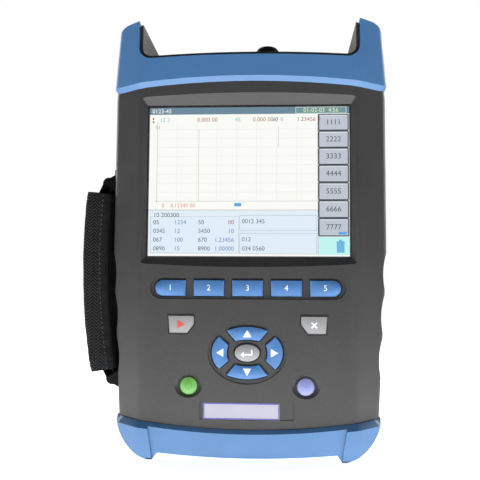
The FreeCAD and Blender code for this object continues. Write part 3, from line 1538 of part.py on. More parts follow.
def dust_cap(name, across, radius, tall, dome, inside_radius, inside_tall):
    """A push-on dust cap, domed at its top and open below."""
    body = new_body(name)
    place(body, across, PARTING, PANEL_TOP + dims.flange_plate + dims.cap_play)
    lines = new_sketch(body, "profile", "XZ_Plane", 0)
    draw_outline(lines, [
        Corner(inside_radius, 0),
        Corner(radius, 0),
        Corner(radius, tall - dome, centre_up=tall - dome),
        Corner(radius - dome, tall),
        Corner(0, tall),
        Corner(0, inside_tall),
        Corner(inside_radius, inside_tall),
    ])
    turn = body.newObject("PartDesign::Revolution", "turned")
    turn.Profile = lines
    turn.ReferenceAxis = (lines, ["V_Axis"])
    turn.Angle = 360
    finish_feature(body, turn)
    return body


def data_socket():
    """The data socket: a metal shell with its mouth in the panel."""
    body = new_body("data_socket")
    place(body, dims.usb_place, PARTING, PANEL_TOP)
    outer = new_sketch(body, "shell_lines", "XY_Plane", 0)
    draw_outline(outer, box_corners(as_size(0), as_size(0), dims.usb_width, dims.usb_depth))
    pad(body, outer, dims.usb_tall, "shell", reverse=True)
    mouth = new_sketch(body, "mouth_lines", "XY_Plane", 0)
    draw_outline(mouth, box_corners(as_size(0), as_size(0), dims.usb_width - 2 * dims.usb_wall,
                                    dims.usb_depth - 2 * dims.usb_wall))
    pocket(body, mouth, dims.usb_tall - dims.usb_wall, "mouth")
    return body


def power_jack():
    """The power jack: a barrel socket with its centre pin."""
    body = new_body("power_jack")
    place(body, -dims.jack_place, PARTING, PANEL_TOP)
    outer = new_sketch(body, "barrel_lines", "XY_Plane", 0)
    draw_circle(outer, 0, 0, dims.jack_radius)
    pad(body, outer, dims.jack_tall, "barrel", reverse=True)
    mouth = new_sketch(body, "mouth_lines", "XY_Plane", 0)
    draw_circle(mouth, 0, 0, dims.jack_bore)
    draw_circle(mouth, 0, 0, dims.jack_pin)
    pocket(body, mouth, dims.jack_tall - dims.usb_wall, "mouth")
    return body


def port_cover():
    """The rubber cover over the data socket, hinged at its outer end."""
    body = new_body("port_cover")
    place(body, dims.usb_place, PARTING, PANEL_TOP + dims.panel_gap)
    lines = new_sketch(body, "flap_lines", "XY_Plane", 0)
    draw_outline(lines, round_box_corners(as_size(0), as_size(0), dims.cover_wide,
                                          dims.cover_deep, dims.cover_round))
    pad(body, lines, dims.cover_thick, "flap")
    return body


def connectors():
    return [
        connector_panel(),
        optical_port("test_port", dims.port_place, dims.port_flange, dims.port_radius,
                     dims.port_tall),
        dust_cap("test_port_cap", dims.port_place, dims.cap_radius, dims.cap_tall, dims.cap_dome,
                 dims.port_radius + dims.cap_play, dims.cap_tall - dims.cap_wall),
        optical_port("visual_port", -dims.visual_place, 2 * dims.visual_cap_radius,
                     dims.visual_radius, dims.visual_tall),
        dust_cap("visual_port_cap", -dims.visual_place, dims.visual_cap_radius,
                 dims.visual_cap_tall, dims.visual_cap_dome, dims.visual_radius + dims.cap_play,
                 dims.visual_tall + dims.cap_play),
        data_socket(),
        power_jack(),
        port_cover(),
    ]


# ---------------------------------------------------------------- strap

STRAP_Y = PARTING + dims.strap_centre


def wall_at(height):
    """The left side wall: distance from the middle plane at a height."""
    share = min(1.0, (height / dims.taper_height).value)
    return half_width_at(height) if share < 1 else CASE_HALF


def bar_place(height):
    return -(wall_at(height) + dims.bar_off)


def pad_face(height, inset):
    """Outer face of the pad, moved in by inset, on the straight line between its hems."""
    share = (height - dims.pad_low) / (dims.pad_top - dims.pad_low)
    return -(CASE_HALF + between(dims.pad_out_low, dims.pad_out_top, share) - inset)


def bowed_band(outer, inner):
    """A bowed strip between two insets from the pad's outer face, hem to hem."""
    half = (dims.pad_top - dims.pad_low) / 2
    middle = dims.pad_low + half
    reach = (half * half + dims.pad_bow * dims.pad_bow) / (2 * dims.pad_bow) - dims.pad_bow
    return [
        Corner(pad_face(dims.pad_low, inner), dims.pad_low,
               centre_across=pad_face(middle, inner) + reach, left=False),
        Corner(pad_face(dims.pad_top, inner), dims.pad_top),
        Corner(pad_face(dims.pad_top, outer), dims.pad_top,
               centre_across=pad_face(middle, outer) + reach),
        Corner(pad_face(dims.pad_low, outer), dims.pad_low),
    ]


def web_insets(gap):
    """The webbing's two faces inside the pad, as insets from the pad's outer face."""
    middle = dims.pad_thick / 2
    return middle - dims.web_thick / 2 - gap, middle + dims.web_thick / 2 + gap


def strap_pad():
    """The padded sleeve: a bowed block with a slot through it for the webbing."""
    body = new_body("strap_pad")
    lines = new_sketch(body, "pad_lines", "XZ_Plane", -STRAP_Y)
    draw_outline(lines, bowed_band(as_size(0), dims.pad_thick))
    pad(body, lines, dims.pad_width, "sleeve", both_ways=True)
    slot = new_sketch(body, "slot_lines", "XZ_Plane", -STRAP_Y)
    draw_outline(slot, bowed_band(*web_insets(dims.pad_gap)))
    pocket(body, slot, dims.web_width + 2 * dims.pad_gap, "slot", both_ways=True)
    return body


def strap_webbing():
    """The webbing: a band through the pad that loops round both strap bars."""
    body = new_body("strap_webbing")
    loop = dims.bar_radius + dims.bar_play + dims.web_thick
    outer, inner = web_insets(0)
    high, low = bar_place(dims.web_high), bar_place(dims.web_low)
    band = bowed_band(outer, inner)
    lines = new_sketch(body, "band_lines", "XZ_Plane", -STRAP_Y)
    draw_outline(lines, [
        band[0],
        band[1],
        Corner(high - loop + dims.web_thick, dims.web_high),
        Corner(high - loop, dims.web_high),
        band[2],
        band[3],
        Corner(low - loop, dims.web_low),
        Corner(low - loop + dims.web_thick, dims.web_low),
    ])
    pad(body, lines, dims.web_width, "band", both_ways=True)
    for word, across, up in (("upper", high, dims.web_high), ("lower", low, dims.web_low)):
        ring = new_sketch(body, f"{word}_loop_lines", "XZ_Plane", -STRAP_Y)
        draw_circle(ring, across, up, loop)
        pad(body, ring, dims.web_width, f"{word}_loop", both_ways=True)
        bore = new_sketch(body, f"{word}_bore_lines", "XZ_Plane", -STRAP_Y)
        draw_circle(bore, across, up, loop - dims.web_thick)
        pocket(body, bore, 2 * dims.web_width, f"{word}_bore", both_ways=True)
    return body


def strap_anchor(name, height):
    """A strap anchor: wall plate, two ears and the bar between them."""
    body = new_body(name)
    place(body, -wall_at(height), STRAP_Y, height)
    lean = 0 if height.value > dims.taper_height.value else -wall_lean()
    body.Placement.Rotation = FreeCAD.Rotation(FreeCAD.Vector(0, 1, 0), lean)
    ear_out = dims.web_width / 2 + dims.ear_play + dims.anchor_ear
    wall = new_sketch(body, "plate_lines", "YZ_Plane", 0)
    draw_outline(wall, round_box_corners(as_size(0), as_size(0), 2 * ear_out, dims.anchor_tall,
                                         dims.anchor_round))
    pad(body, wall, dims.anchor_plate, "plate", reverse=True)
    eye = dims.bar_radius + dims.ear_rim
    for side, word in ((-1, "front"), (1, "back")):
        ear = new_sketch(body, f"ear_{word}_lines", "XZ_Plane",
                         -side * (ear_out - dims.anchor_ear / 2))
        draw_outline(ear, [
            Corner(0, -dims.anchor_tall / 3),
            Corner(0, dims.anchor_tall / 3),
            Corner(-dims.bar_off, eye, centre_across=-dims.bar_off),
            Corner(-dims.bar_off, -eye),
        ])
        pad(body, ear, dims.anchor_ear, f"ear_{word}", both_ways=True)
    bar = new_sketch(body, "bar_lines", "XZ_Plane", 0)
    draw_circle(bar, -dims.bar_off, 0, dims.bar_radius)
    pad(body, bar, 2 * ear_out - dims.anchor_ear, "bar", both_ways=True)
    return body


def wall_lean():
    """Lean of the tapered side wall from upright, in degrees."""
    return math.degrees(math.atan2(dims.foot_taper.value, dims.taper_height.value))


def strap():
    return [
        strap_pad(),
        strap_webbing(),
        strap_anchor("upper_strap_anchor", dims.web_high),
        strap_anchor("lower_strap_anchor", dims.web_low),
    ]


# ---------------------------------------------------------------- fasteners


def fasteners():
    """Casing screws from the back into the front bosses, and the battery door's two screws."""
    inwards = FreeCAD.Rotation(FreeCAD.Vector(1, 0, 0), 90)
    long_reach = BACK_FACE - dims.screw_sink - PARTING + dims.screw_reach
    long_screw = machine_screw("casing_screw", long_reach, dims.screw_radius,
                               dims.screw_head_radius, dims.screw_head_tall)
    casing = [(across, BACK_FACE - dims.screw_sink, up) for across, up in boss_places()]
    short_screw = machine_screw("door_screw", dims.door_thick + dims.door_screw_reach, dims.screw_radius,
                                dims.screw_head_radius, dims.door_thick / 2)
    door = [(across, BACK_FACE, up) for across, up in door_screw_places()]
    return [screw_set("casing_screws", long_screw, casing, inwards),
            screw_set("battery_door_screws", short_screw, door, inwards)]


# ---------------------------------------------------------------- whole instrument


def build():
    envelope = casing_envelope()
    return [
        front_shell(),
        back_shell(),
        top_bumper(envelope),
        bottom_bumper(envelope),
        *display_parts(),
        *[key_body(key) for key in KEYS],
        *keypad_parts(),
        label_plate(),
        *electronics(),
        battery_door(),
        tilt_stand(),
        stand_hinge_pins(),
        *connectors(),
        *strap(),
        *fasteners(),
    ]


def check(parts):
    """Stops before anything is written if an object failed or a shape is unsound."""
    DOC.recompute()
    for thing in DOC.Objects:
        if any(word in thing.State for word in ("Invalid", "Error")):
            raise RuntimeError(f"{thing.Label}: {thing.State}")
    for part in parts:
        if part.Shape.isNull() or not part.Shape.isValid():
            raise RuntimeError(f"{part.Label}: unsound shape")


# The middle of the whole instrument: from the bumper on the right to the strap on the left.
STRAP_REACH = CASE_HALF + (dims.pad_out_low + dims.pad_out_top) / 2 + dims.pad_bow
MIDDLE = (CASE_HALF + dims.bumper_side - STRAP_REACH) / 2

PARTS = build()
check(PARTS)
os.makedirs("parts", exist_ok=True)
for part in PARTS:
    shape = part.Shape.copy()
    shape.translate(FreeCAD.Vector(-MIDDLE.value, 0, 0))
    shape.exportStep(f"parts/{part.Label}.step")
print(f"{len(PARTS)} parts written")
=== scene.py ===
import json
import math

import bmesh
import bpy
from mathutils import Matrix, Vector, noise
from mathutils.bvhtree import BVHTree


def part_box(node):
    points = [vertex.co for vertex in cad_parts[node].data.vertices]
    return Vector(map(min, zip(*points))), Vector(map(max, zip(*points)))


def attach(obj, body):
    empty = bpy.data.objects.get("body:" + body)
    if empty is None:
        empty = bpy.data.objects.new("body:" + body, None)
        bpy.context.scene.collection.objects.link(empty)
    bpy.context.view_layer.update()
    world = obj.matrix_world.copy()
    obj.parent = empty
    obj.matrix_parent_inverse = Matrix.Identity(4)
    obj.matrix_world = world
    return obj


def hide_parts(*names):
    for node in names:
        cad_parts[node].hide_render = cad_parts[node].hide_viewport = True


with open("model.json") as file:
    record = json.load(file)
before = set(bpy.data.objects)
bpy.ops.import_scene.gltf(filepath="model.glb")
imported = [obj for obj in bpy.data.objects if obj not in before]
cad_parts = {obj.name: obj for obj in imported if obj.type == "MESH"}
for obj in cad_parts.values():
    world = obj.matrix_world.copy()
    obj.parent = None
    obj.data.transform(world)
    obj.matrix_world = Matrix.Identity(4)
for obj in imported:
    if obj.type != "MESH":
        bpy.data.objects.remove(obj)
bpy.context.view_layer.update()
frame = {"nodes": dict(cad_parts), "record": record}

NODES = frame["nodes"]
MM = 0.001


# ---------------------------------------------------------------- small tools


def linear(red, green, blue):
    """A colour given in 0-255 screen values, as linear RGBA."""
    def channel(value):
        value /= 255
        return value / 12.92 if value <= 0.04045 else ((value + 0.055) / 1.055) ** 2.4
    return channel(red), channel(green), channel(blue), 1.0


def centre(node):
    """Middle of a node's box, in metres."""
    low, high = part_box(node)
    return (Vector(low) + Vector(high)) / 2


def new_mesh(name, vertices, faces, material, smooth=False):
    """A mesh object from points and faces, with one material."""
    mesh = bpy.data.meshes.new(name)
    mesh.from_pydata([tuple(point) for point in vertices], [], faces)
    mesh.validate()
    piece = bpy.data.objects.new(name, mesh)
    bpy.context.scene.collection.objects.link(piece)
    if material is not None:
        mesh.materials.append(material)
    for face in mesh.polygons:
        face.use_smooth = smooth
    return piece


def smooth_step(value):
    """0 to 1 with level ends."""
    value = min(1.0, max(0.0, value))
    return value * value * (3 - 2 * value)


def tube_faces(first, rings, around, flip=False):
    """Quads that join rings of points, each around points long, the first at point number first."""
    faces = []
    for ring in range(rings):
        for place in range(around):
            one = first + ring * around + place
            two = first + ring * around + (place + 1) % around
            if flip:
                faces.append((one, one + around, two + around, two))
            else:
                faces.append((one, two, two + around, one + around))
    return faces


MIDDLE = centre("screen_lens").x


# ---------------------------------------------------------------- materials


class Surface:
    """A procedural material: a principled shader with mottling and grain in object metres."""

    def __init__(self, name, colour, rough, **sockets):
        self.material = bpy.data.materials.new(name)
        self.material.use_nodes = True
        tree = self.material.node_tree
        self.nodes, self.links = tree.nodes, tree.links
        self.shader = self.nodes["Principled BSDF"]
        self.shader.inputs["Base Color"].default_value = colour
        self.shader.inputs["Roughness"].default_value = rough
        for socket, value in sockets.items():
            self.shader.inputs[socket.replace("_", " ")].default_value = value
        self.colour = colour
        self.rough = rough
        self.place = self.nodes.new("ShaderNodeTexCoord").outputs["Object"]
        self.tint = None
        self.height = None

    def stretch(self, scale):
        """Object coordinates scaled unevenly."""
        mapping = self.nodes.new("ShaderNodeMapping")
        mapping.inputs["Scale"].default_value = scale
        self.links.new(self.place, mapping.inputs["Vector"])
        return mapping.outputs["Vector"]

    def axes(self):
        """Object coordinates as three numbers."""
        node = self.nodes.new("ShaderNodeSeparateXYZ")
        self.links.new(self.place, node.inputs["Vector"])
        return node.outputs["X"], node.outputs["Y"], node.outputs["Z"]

    def noise(self, size, detail, place=None):
        """Noise with blobs about size metres wide."""
        node = self.nodes.new("ShaderNodeTexNoise")
        node.inputs["Scale"].default_value = 1 / size
        node.inputs["Detail"].default_value = detail
        self.links.new(place or self.place, node.inputs["Vector"])
        return node.outputs["Fac"]

    def ramp(self, source, low, high, left=0.0, right=1.0):
        """Maps low..high of a value to left..right, held at the ends."""
        node = self.nodes.new("ShaderNodeMapRange")
        node.inputs["From Min"].default_value = low
        node.inputs["From Max"].default_value = high
        node.inputs["To Min"].default_value = left
        node.inputs["To Max"].default_value = right
        self.links.new(source, node.inputs["Value"])
        return node.outputs["Result"]

    def math(self, operation, first, second=None):
        node = self.nodes.new("ShaderNodeMath")
        node.operation = operation
        for socket, value in zip(node.inputs, (first, second)):
            if isinstance(value, (int, float)):
                socket.default_value = value
            elif value is not None:
                self.links.new(value, socket)
        return node.outputs["Value"]

    def blend(self, mask, colour):
        """Lays a colour over what is there, where the mask is 1."""
        node = self.nodes.new("ShaderNodeMix")
        node.data_type = "RGBA"
        first, second = node.inputs[6], node.inputs[7]
        if self.tint is None:
            first.default_value = self.colour
        else:
            self.links.new(self.tint, first)
        second.default_value = colour
        self.links.new(mask, node.inputs[0])
        self.tint = node.outputs[2]
        self.links.new(self.tint, self.shader.inputs["Base Color"])
        return self

    def mottle(self, size, strength):
        """Lighter and darker patches, as in aged or flow-marked plastic."""
        red, green, blue, _ = self.colour
        mask = self.ramp(self.noise(size, detail=3.0), 0.35, 0.65)
        lift = 1 + strength
        return self.blend(mask, (red * lift, green * lift, blue * lift, 1.0))

    def roughen(self, size, spread):
        """Lets the roughness vary by spread to each side."""
        value = self.ramp(self.noise(size, detail=2.0), 0.3, 0.7,
                          self.rough - spread, self.rough + spread)
        self.links.new(value, self.shader.inputs["Roughness"])
        return self

    def bump(self, source, depth):
        """Adds a bump of depth metres from a 0..1 height."""
        node = self.nodes.new("ShaderNodeBump")
        node.inputs["Strength"].default_value = 1.0
        node.inputs["Distance"].default_value = depth
        self.links.new(source, node.inputs["Height"])
        if self.height is not None:
            self.links.new(self.height, node.inputs["Normal"])
        self.height = node.outputs["Normal"]
        self.links.new(self.height, self.shader.inputs["Normal"])
        return self


def casing_plastic():
    """Dark grey moulded plastic with a spark-eroded grain."""
    skin = Surface("casing_plastic", linear(58, 57, 57), 0.34, Specular_IOR_Level=0.65)
    skin.mottle(0.03, 0.06).roughen(0.012, 0.05)
    grain = skin.noise(0.0006, 3.0)
    skin.blend(skin.ramp(grain, 0.55, 0.75, 0.0, 0.5), linear(82, 81, 81))
    skin.bump(grain, 0.0001)
    return skin.material


def bumper_rubber():
    """Satin blue elastomer with faint scuffs."""
    skin = Surface("bumper_rubber", linear(68, 114, 163), 0.36, Specular_IOR_Level=0.8)
    skin.mottle(0.02, 0.07).roughen(0.008, 0.05)
    scuffs = skin.noise(0.002, 4.0, skin.stretch((1, 1, 0.15)))
    skin.blend(skin.ramp(scuffs, 0.7, 0.8, 0.0, 0.18), linear(128, 170, 206))
    skin.bump(skin.noise(0.0009, 2.0), 0.00004)
    return skin.material


def plain_plastic(name, colour, rough):
    """Moulded plastic with a light mottle and fine grain."""
    skin = Surface(name, colour, rough)
    skin.mottle(0.01, 0.06).roughen(0.005, 0.04)
    skin.bump(skin.noise(0.0005, 2.0), 0.00002)
    return skin.material


def rubber(name, colour):
    skin = Surface(name, colour, 0.75, Specular_IOR_Level=0.35)
    skin.mottle(0.006, 0.25).roughen(0.004, 0.08)
    skin.bump(skin.noise(0.0007, 3.0), 0.00006)
    return skin.material


def metal(name, colour, rough, brushed=(1, 1, 1)):
    skin = Surface(name, colour, rough, Metallic=1.0)
    skin.mottle(0.01, 0.1).roughen(0.003, 0.06)
    skin.bump(skin.noise(0.0008, 3.0, skin.stretch(brushed)), 0.00002)
    return skin.material


def clear_lens():
    skin = Surface("clear_lens", (1, 1, 1, 1), 0.02, Transmission_Weight=1.0, IOR=1.25)
    skin.bump(skin.noise(0.02, 1.0), 0.000004)
    return skin.material


def lit(name, colour):
    """A colour shown by the backlit display."""
    skin = Surface(name, (0.01, 0.01, 0.01, 1), 0.4)
    skin.shader.inputs["Emission Color"].default_value = colour
    skin.shader.inputs["Emission Strength"].default_value = 1.0
    skin.bump(skin.noise(0.0003, 1.0), 0.000002)
    return skin.material


def paint(name, colour):
    """Printed ink."""
    skin = Surface(name, colour, 0.4)
    skin.mottle(0.002, 0.05)
    return skin.material


def strap_fabric():
    """Black nylon in a herringbone weave: slanted ribs that turn back at every column."""
    skin = Surface("strap_fabric", linear(11, 11, 12), 0.8,
                   Sheen_Weight=0.03, Specular_IOR_Level=0.2)
    across, deep, up = skin.axes()
    zigzag = skin.math("PINGPONG", skin.math("ADD", across, deep), 0.0027)
    slant = skin.math("MULTIPLY", skin.math("ADD", up, zigzag), 1 / 0.0019)
    wave = skin.math("PINGPONG", slant, 0.5)
    rib = skin.ramp(wave, 0.24, 0.4)
    skin.blend(rib, linear(50, 52, 54))
    skin.blend(skin.ramp(zigzag, 0.00022, 0.00008), linear(9, 9, 10))
    thread = skin.noise(0.0004, 3.0)
    skin.blend(skin.ramp(thread, 0.55, 0.75, 0.0, 0.4), linear(22, 23, 24))
    skin.bump(rib, 0.00018).bump(thread, 0.00006)
    return skin.material


def webbing_fabric():
    """Black webbing with fine ribs across and a cord line along it."""
    skin = Surface("strap_webbing", linear(11, 11, 12), 0.8,
                   Sheen_Weight=0.03, Specular_IOR_Level=0.2)
    across, deep, up = skin.axes()
    cord = skin.math("PINGPONG", skin.math("MULTIPLY", deep, 1 / 0.0021), 0.5)
    ribs = skin.math("MULTIPLY", skin.math("ADD", up, across), 1 / 0.0011)
    pick = skin.math("PINGPONG", ribs, 0.5)
    skin.blend(skin.ramp(pick, 0.1, 0.4, 0.0, 0.8), linear(22, 23, 24))
    skin.bump(skin.ramp(cord, 0.05, 0.4), 0.0002).bump(pick, 0.0001)
    return skin.material


MATERIALS = {
    "casing_grey": casing_plastic(),
    "bumper_blue": bumper_rubber(),
    "clear_lens": clear_lens(),
    "black_plastic": plain_plastic("black_plastic", linear(34, 34, 35), 0.5),
    "display_white": plain_plastic("display_back", linear(150, 152, 154), 0.4),
    "key_blue": plain_plastic("key_blue", linear(74, 119, 175), 0.35),
    "key_grey": plain_plastic("key_grey", linear(148, 148, 150), 0.35),
    "key_green": plain_plastic("key_green", linear(104, 166, 84), 0.35),
    "key_violet": plain_plastic("key_violet", linear(134, 140, 188), 0.35),
    "black_rubber": rubber("black_rubber", linear(30, 30, 31)),
    "board_green": plain_plastic("board_green", linear(30, 92, 52), 0.35),
    "label_white": plain_plastic("label_white", linear(166, 166, 180), 0.3),
    "nickel": metal("nickel", linear(190, 186, 176), 0.28),
    "module_metal": metal("module_metal", linear(188, 190, 192), 0.35, (1, 1, 0.05)),
    "battery_grey": plain_plastic("battery_grey", linear(70, 72, 78), 0.3),
    "strap_fabric": strap_fabric(),
    "strap_webbing": webbing_fabric(),
    # plain dark rubber; on the sleeve it is laid over the inner side as painted shade
    "strap_lining": rubber("strap_lining", linear(13, 13, 14)),
    "strap_thread": rubber("strap_thread", linear(56, 58, 60)),
    "black_steel": metal("black_steel", linear(40, 40, 42), 0.45),
    "steel": metal("steel", linear(178, 178, 180), 0.3),
}


def finish_nodes():
    """Gives every CAD node the material of its slot in the record."""
    for part in frame["record"]["subparts"]:
        node = NODES[part["node"]]
        material = MATERIALS[part["material_slot"]]
        node.data.materials.clear()
        node.data.materials.append(material)
        for face in node.data.polygons:
            face.material_index = 0


finish_nodes()


# ---------------------------------------------------------------- stage

FLOOR_HALF = 4.0
FLOOR_GLOW, GLOW_NEAR, GLOW_FAR = 0.85, 0.15, 0.5
WORLD_LOW, WORLD_HIGH = 0.16, 0.07
CAMERA_LENS = 55.5
CAMERA_PLACE = Vector((0.01968, -0.44617, 0.08598))
CAMERA_TURNS = ((0.376, "Y"), (-4.836, "X"), (-3.314, "Z"))
ABOVE_TABLE, ABOVE_FOOT, AIM = (0, -0.29, 1), (0, -0.068, 1), (0, 0, 0.12)
LAMPS = (
    # name, place, target, width and depth, watts, seen in reflections
    ("table", (0, -0.29, 0.0004), ABOVE_TABLE, (1.2, 0.64), 4.4, False),
    ("table_sheen", (0, -0.29, 0.0005), ABOVE_TABLE, (1.2, 0.64), 3.2, True),
    ("foot", (0, -0.068, 0.0003), ABOVE_FOOT, (0.4, 0.064), 0.12, False),
    ("left", (-0.9, 0.6, 0.5), AIM, (0.7, 0.7), 3, True),
    ("right", (0.9, 0.6, 0.5), AIM, (0.7, 0.7), 3, True),
    ("back_left", (-0.7, 1.0, 1.1), AIM, (0.8, 0.8), 9, True),
    ("back_right", (0.7, 1.0, 1.1), AIM, (0.8, 0.8), 9, True),
)
TABLE_SPREAD = 135


def make_stage():
    """A white floor, and a world that looks white but gives little light, least of all overhead."""
    corners = [(-1, -1), (1, -1), (1, 1), (-1, 1)]
    floor = new_mesh("floor", [(x * FLOOR_HALF, y * FLOOR_HALF, 0) for x, y in corners],
                     [(0, 1, 2, 3)], None)
    paper = bpy.data.materials.new("floor_paper")
    paper.use_nodes = True
    nodes, links = paper.node_tree.nodes, paper.node_tree.links
    shader = nodes["Principled BSDF"]
    shader.inputs["Base Color"].default_value = (0.92, 0.92, 0.92, 1)
    shader.inputs["Roughness"].default_value = 0.9
    shader.inputs["Specular IOR Level"].default_value = 0.0
    seen = nodes.new("ShaderNodeLightPath")
    reach = nodes.new("ShaderNodeVectorMath")
    reach.operation = "LENGTH"
    links.new(nodes.new("ShaderNodeTexCoord").outputs["Object"], reach.inputs[0])
    white = nodes.new("ShaderNodeMapRange")
    links.new(reach.outputs["Value"], white.inputs["Value"])
    for socket, value in zip(white.inputs[1:5], (GLOW_NEAR, GLOW_FAR, FLOOR_GLOW, 1.0)):
        socket.default_value = value
    glow = nodes.new("ShaderNodeMath")
    glow.operation = "MULTIPLY"
    links.new(white.outputs["Result"], glow.inputs[1])
    links.new(seen.outputs["Is Camera Ray"], glow.inputs[0])
    shader.inputs["Emission Color"].default_value = (1, 1, 1, 1)
    links.new(glow.outputs[0], shader.inputs["Emission Strength"])
    floor.data.materials.append(paper)
    world = bpy.data.worlds.new("world")
    bpy.context.scene.world = world
    world.use_nodes = True
    nodes, links = world.node_tree.nodes, world.node_tree.links
    background = nodes["Background"]
    seen = nodes.new("ShaderNodeLightPath")
    either = nodes.new("ShaderNodeMath")
    either.operation = "MAXIMUM"
    links.new(seen.outputs["Is Camera Ray"], either.inputs[0])
    links.new(seen.outputs["Is Transmission Ray"], either.inputs[1])
    plain = nodes.new("ShaderNodeBackground")
    plain.inputs["Strength"].default_value = 1.0
    plain.inputs["Color"].default_value = (1, 1, 1, 1)
    mix = nodes.new("ShaderNodeMixShader")
    links.new(either.outputs[0], mix.inputs[0])
    links.new(background.outputs[0], mix.inputs[1])
    links.new(plain.outputs[0], mix.inputs[2])
    links.new(mix.outputs[0], nodes["World Output"].inputs["Surface"])
    heading = nodes.new("ShaderNodeSeparateXYZ")
    links.new(nodes.new("ShaderNodeTexCoord").outputs["Generated"], heading.inputs["Vector"])
    height = nodes.new("ShaderNodeMapRange")
    links.new(heading.outputs["Z"], height.inputs["Value"])
    for socket, value in zip(height.inputs[1:5], (0.0, 0.5, WORLD_LOW, WORLD_HIGH)):
        socket.default_value = value
    background.inputs["Color"].default_value = (1, 1, 1, 1)
    links.new(height.outputs["Result"], background.inputs["Strength"])


def lamp(name, place, target, size, power, mirrored):
    """A soft rectangular lamp at a place, turned to a target."""
    light = bpy.data.lights.new(name, "AREA")
    light.shape = "RECTANGLE"
    light.size, light.size_y = size
    light.energy = power
    thing = bpy.data.objects.new(name, light)
    bpy.context.scene.collection.objects.link(thing)
    thing.location = Vector(place) + Vector((MIDDLE, 0, 0))
    aim = Vector(target) - Vector(place)
    thing.rotation_euler = aim.to_track_quat("-Z", "Y").to_euler()
    thing.visible_camera = False
    thing.visible_glossy = mirrored
    return thing


def make_camera():
    """The camera stands low in front, a little to the right, and looks slightly up."""
    data = bpy.data.cameras.new("camera")
    data.sensor_width = 36
    data.lens = CAMERA_LENS
    camera = bpy.data.objects.new("camera", data)
    bpy.context.scene.collection.objects.link(camera)
    turn = Matrix.Identity(3)
    for angle, axis in CAMERA_TURNS:
        turn = turn @ Matrix.Rotation(math.radians(angle), 3, axis)
    right, ahead, up = turn
    place = CAMERA_PLACE + Vector((MIDDLE, 0, 0))
    rows = [(right[axis], up[axis], -ahead[axis], place[axis]) for axis in range(3)]
    camera.matrix_world = Matrix(rows + [(0, 0, 0, 1)])
    bpy.context.scene.camera = camera


make_stage()
make_camera()
lamps = {row[0]: lamp(*row) for row in LAMPS}
lamps["table"].data.spread = math.radians(TABLE_SPREAD)
bpy.context.scene.view_settings.view_transform = "Standard"


# ---------------------------------------------------------------- flat marks


class Marks:
    """Flat marks of one colour that face the front, gathered into one mesh."""

    def __init__(self, name, material, slot, body, deep):
        self.name, self.material, self.slot, self.body = name, material, slot, body
        self.deep = deep
        self.points, self.faces = [], []

    def polygon(self, corners):
        """One face, its corners listed anticlockwise as seen from the front."""
        start = len(self.points)
        self.points += [(across, self.deep, up) for across, up in corners]
        self.faces.append(tuple(range(start, start + len(corners))))

    def box(self, left, low, right, high):
        self.polygon([(left, low), (right, low), (right, high), (left, high)])

    def frame(self, left, low, right, high, line):
        """Four strips, line wide, just inside a rectangle."""
        self.box(left, low, right, low + line)
        self.box(left, high - line, right, high)
        self.box(left, low + line, left + line, high - line)
        self.box(right - line, low + line, right, high - line)

    def ring(self, across, up, inner, outer, first=0.0, last=360.0, steps=40):
        """A ring, or the part of it between two angles in degrees."""
        turns = [math.radians(first + (last - first) * step / steps) for step in range(steps + 1)]
        for one, two in zip(turns, turns[1:]):
            corners = [(inner, one), (outer, one), (outer, two), (inner, two)]
            self.polygon([(across + r * math.cos(a), up + r * math.sin(a)) for r, a in corners])

    def text(self, words, size, across, up, align="CENTER"):
        """Plain characters as flat faces."""
        curve = bpy.data.curves.new("words", "FONT")
        curve.body, curve.size = words, size
        curve.align_x, curve.align_y = align, "CENTER"
        curve.resolution_u = 3
        thing = bpy.data.objects.new("words", curve)
        bpy.context.scene.collection.objects.link(thing)
        bpy.context.view_layer.update()
        mesh = bpy.data.meshes.new_from_object(
            thing.evaluated_get(bpy.context.evaluated_depsgraph_get()))
        start = len(self.points)
        self.points += [(across + p.co.x, self.deep, up + p.co.y) for p in mesh.vertices]
        self.faces += [tuple(start + number for number in face.vertices) for face in mesh.polygons]
        bpy.data.objects.remove(thing)
        bpy.data.curves.remove(curve)
        bpy.data.meshes.remove(mesh)

    def finish(self, surface=None, lift=0.0):
        """Makes the piece; with a surface, the marks are laid on it, lift in front of it."""
        piece = new_mesh(self.name, self.points, self.faces, self.material)
        if surface is not None:
            work = bmesh.new()
            work.from_mesh(piece.data)
            bmesh.ops.remove_doubles(work, verts=work.verts, dist=0.01 * MM)
            bmesh.ops.triangulate(work, faces=work.faces)
            bmesh.ops.subdivide_edges(work, edges=work.edges, cuts=3, use_grid_fill=True)
            for point in work.verts:
                start = Vector((point.co.x, point.co.y - 0.01, point.co.z))
                hit = surface.ray_cast(start, Vector((0, 1, 0)))[0]
                if hit is not None:
                    point.co.y = hit.y - lift
            work.to_mesh(piece.data)
            work.free()
        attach(piece, self.body)


# ---------------------------------------------------------------- picture on the display

ACTIVE_WIDE = 0.1152
ACTIVE_TALL = 0.0864
BORDER = 0.0018
LAYER = 0.00004
ROW_LINE, COLUMN_LINE = 0.0022, 0.0017
PLOT_LOW, PLOT_RIGHT = 0.634, 0.84


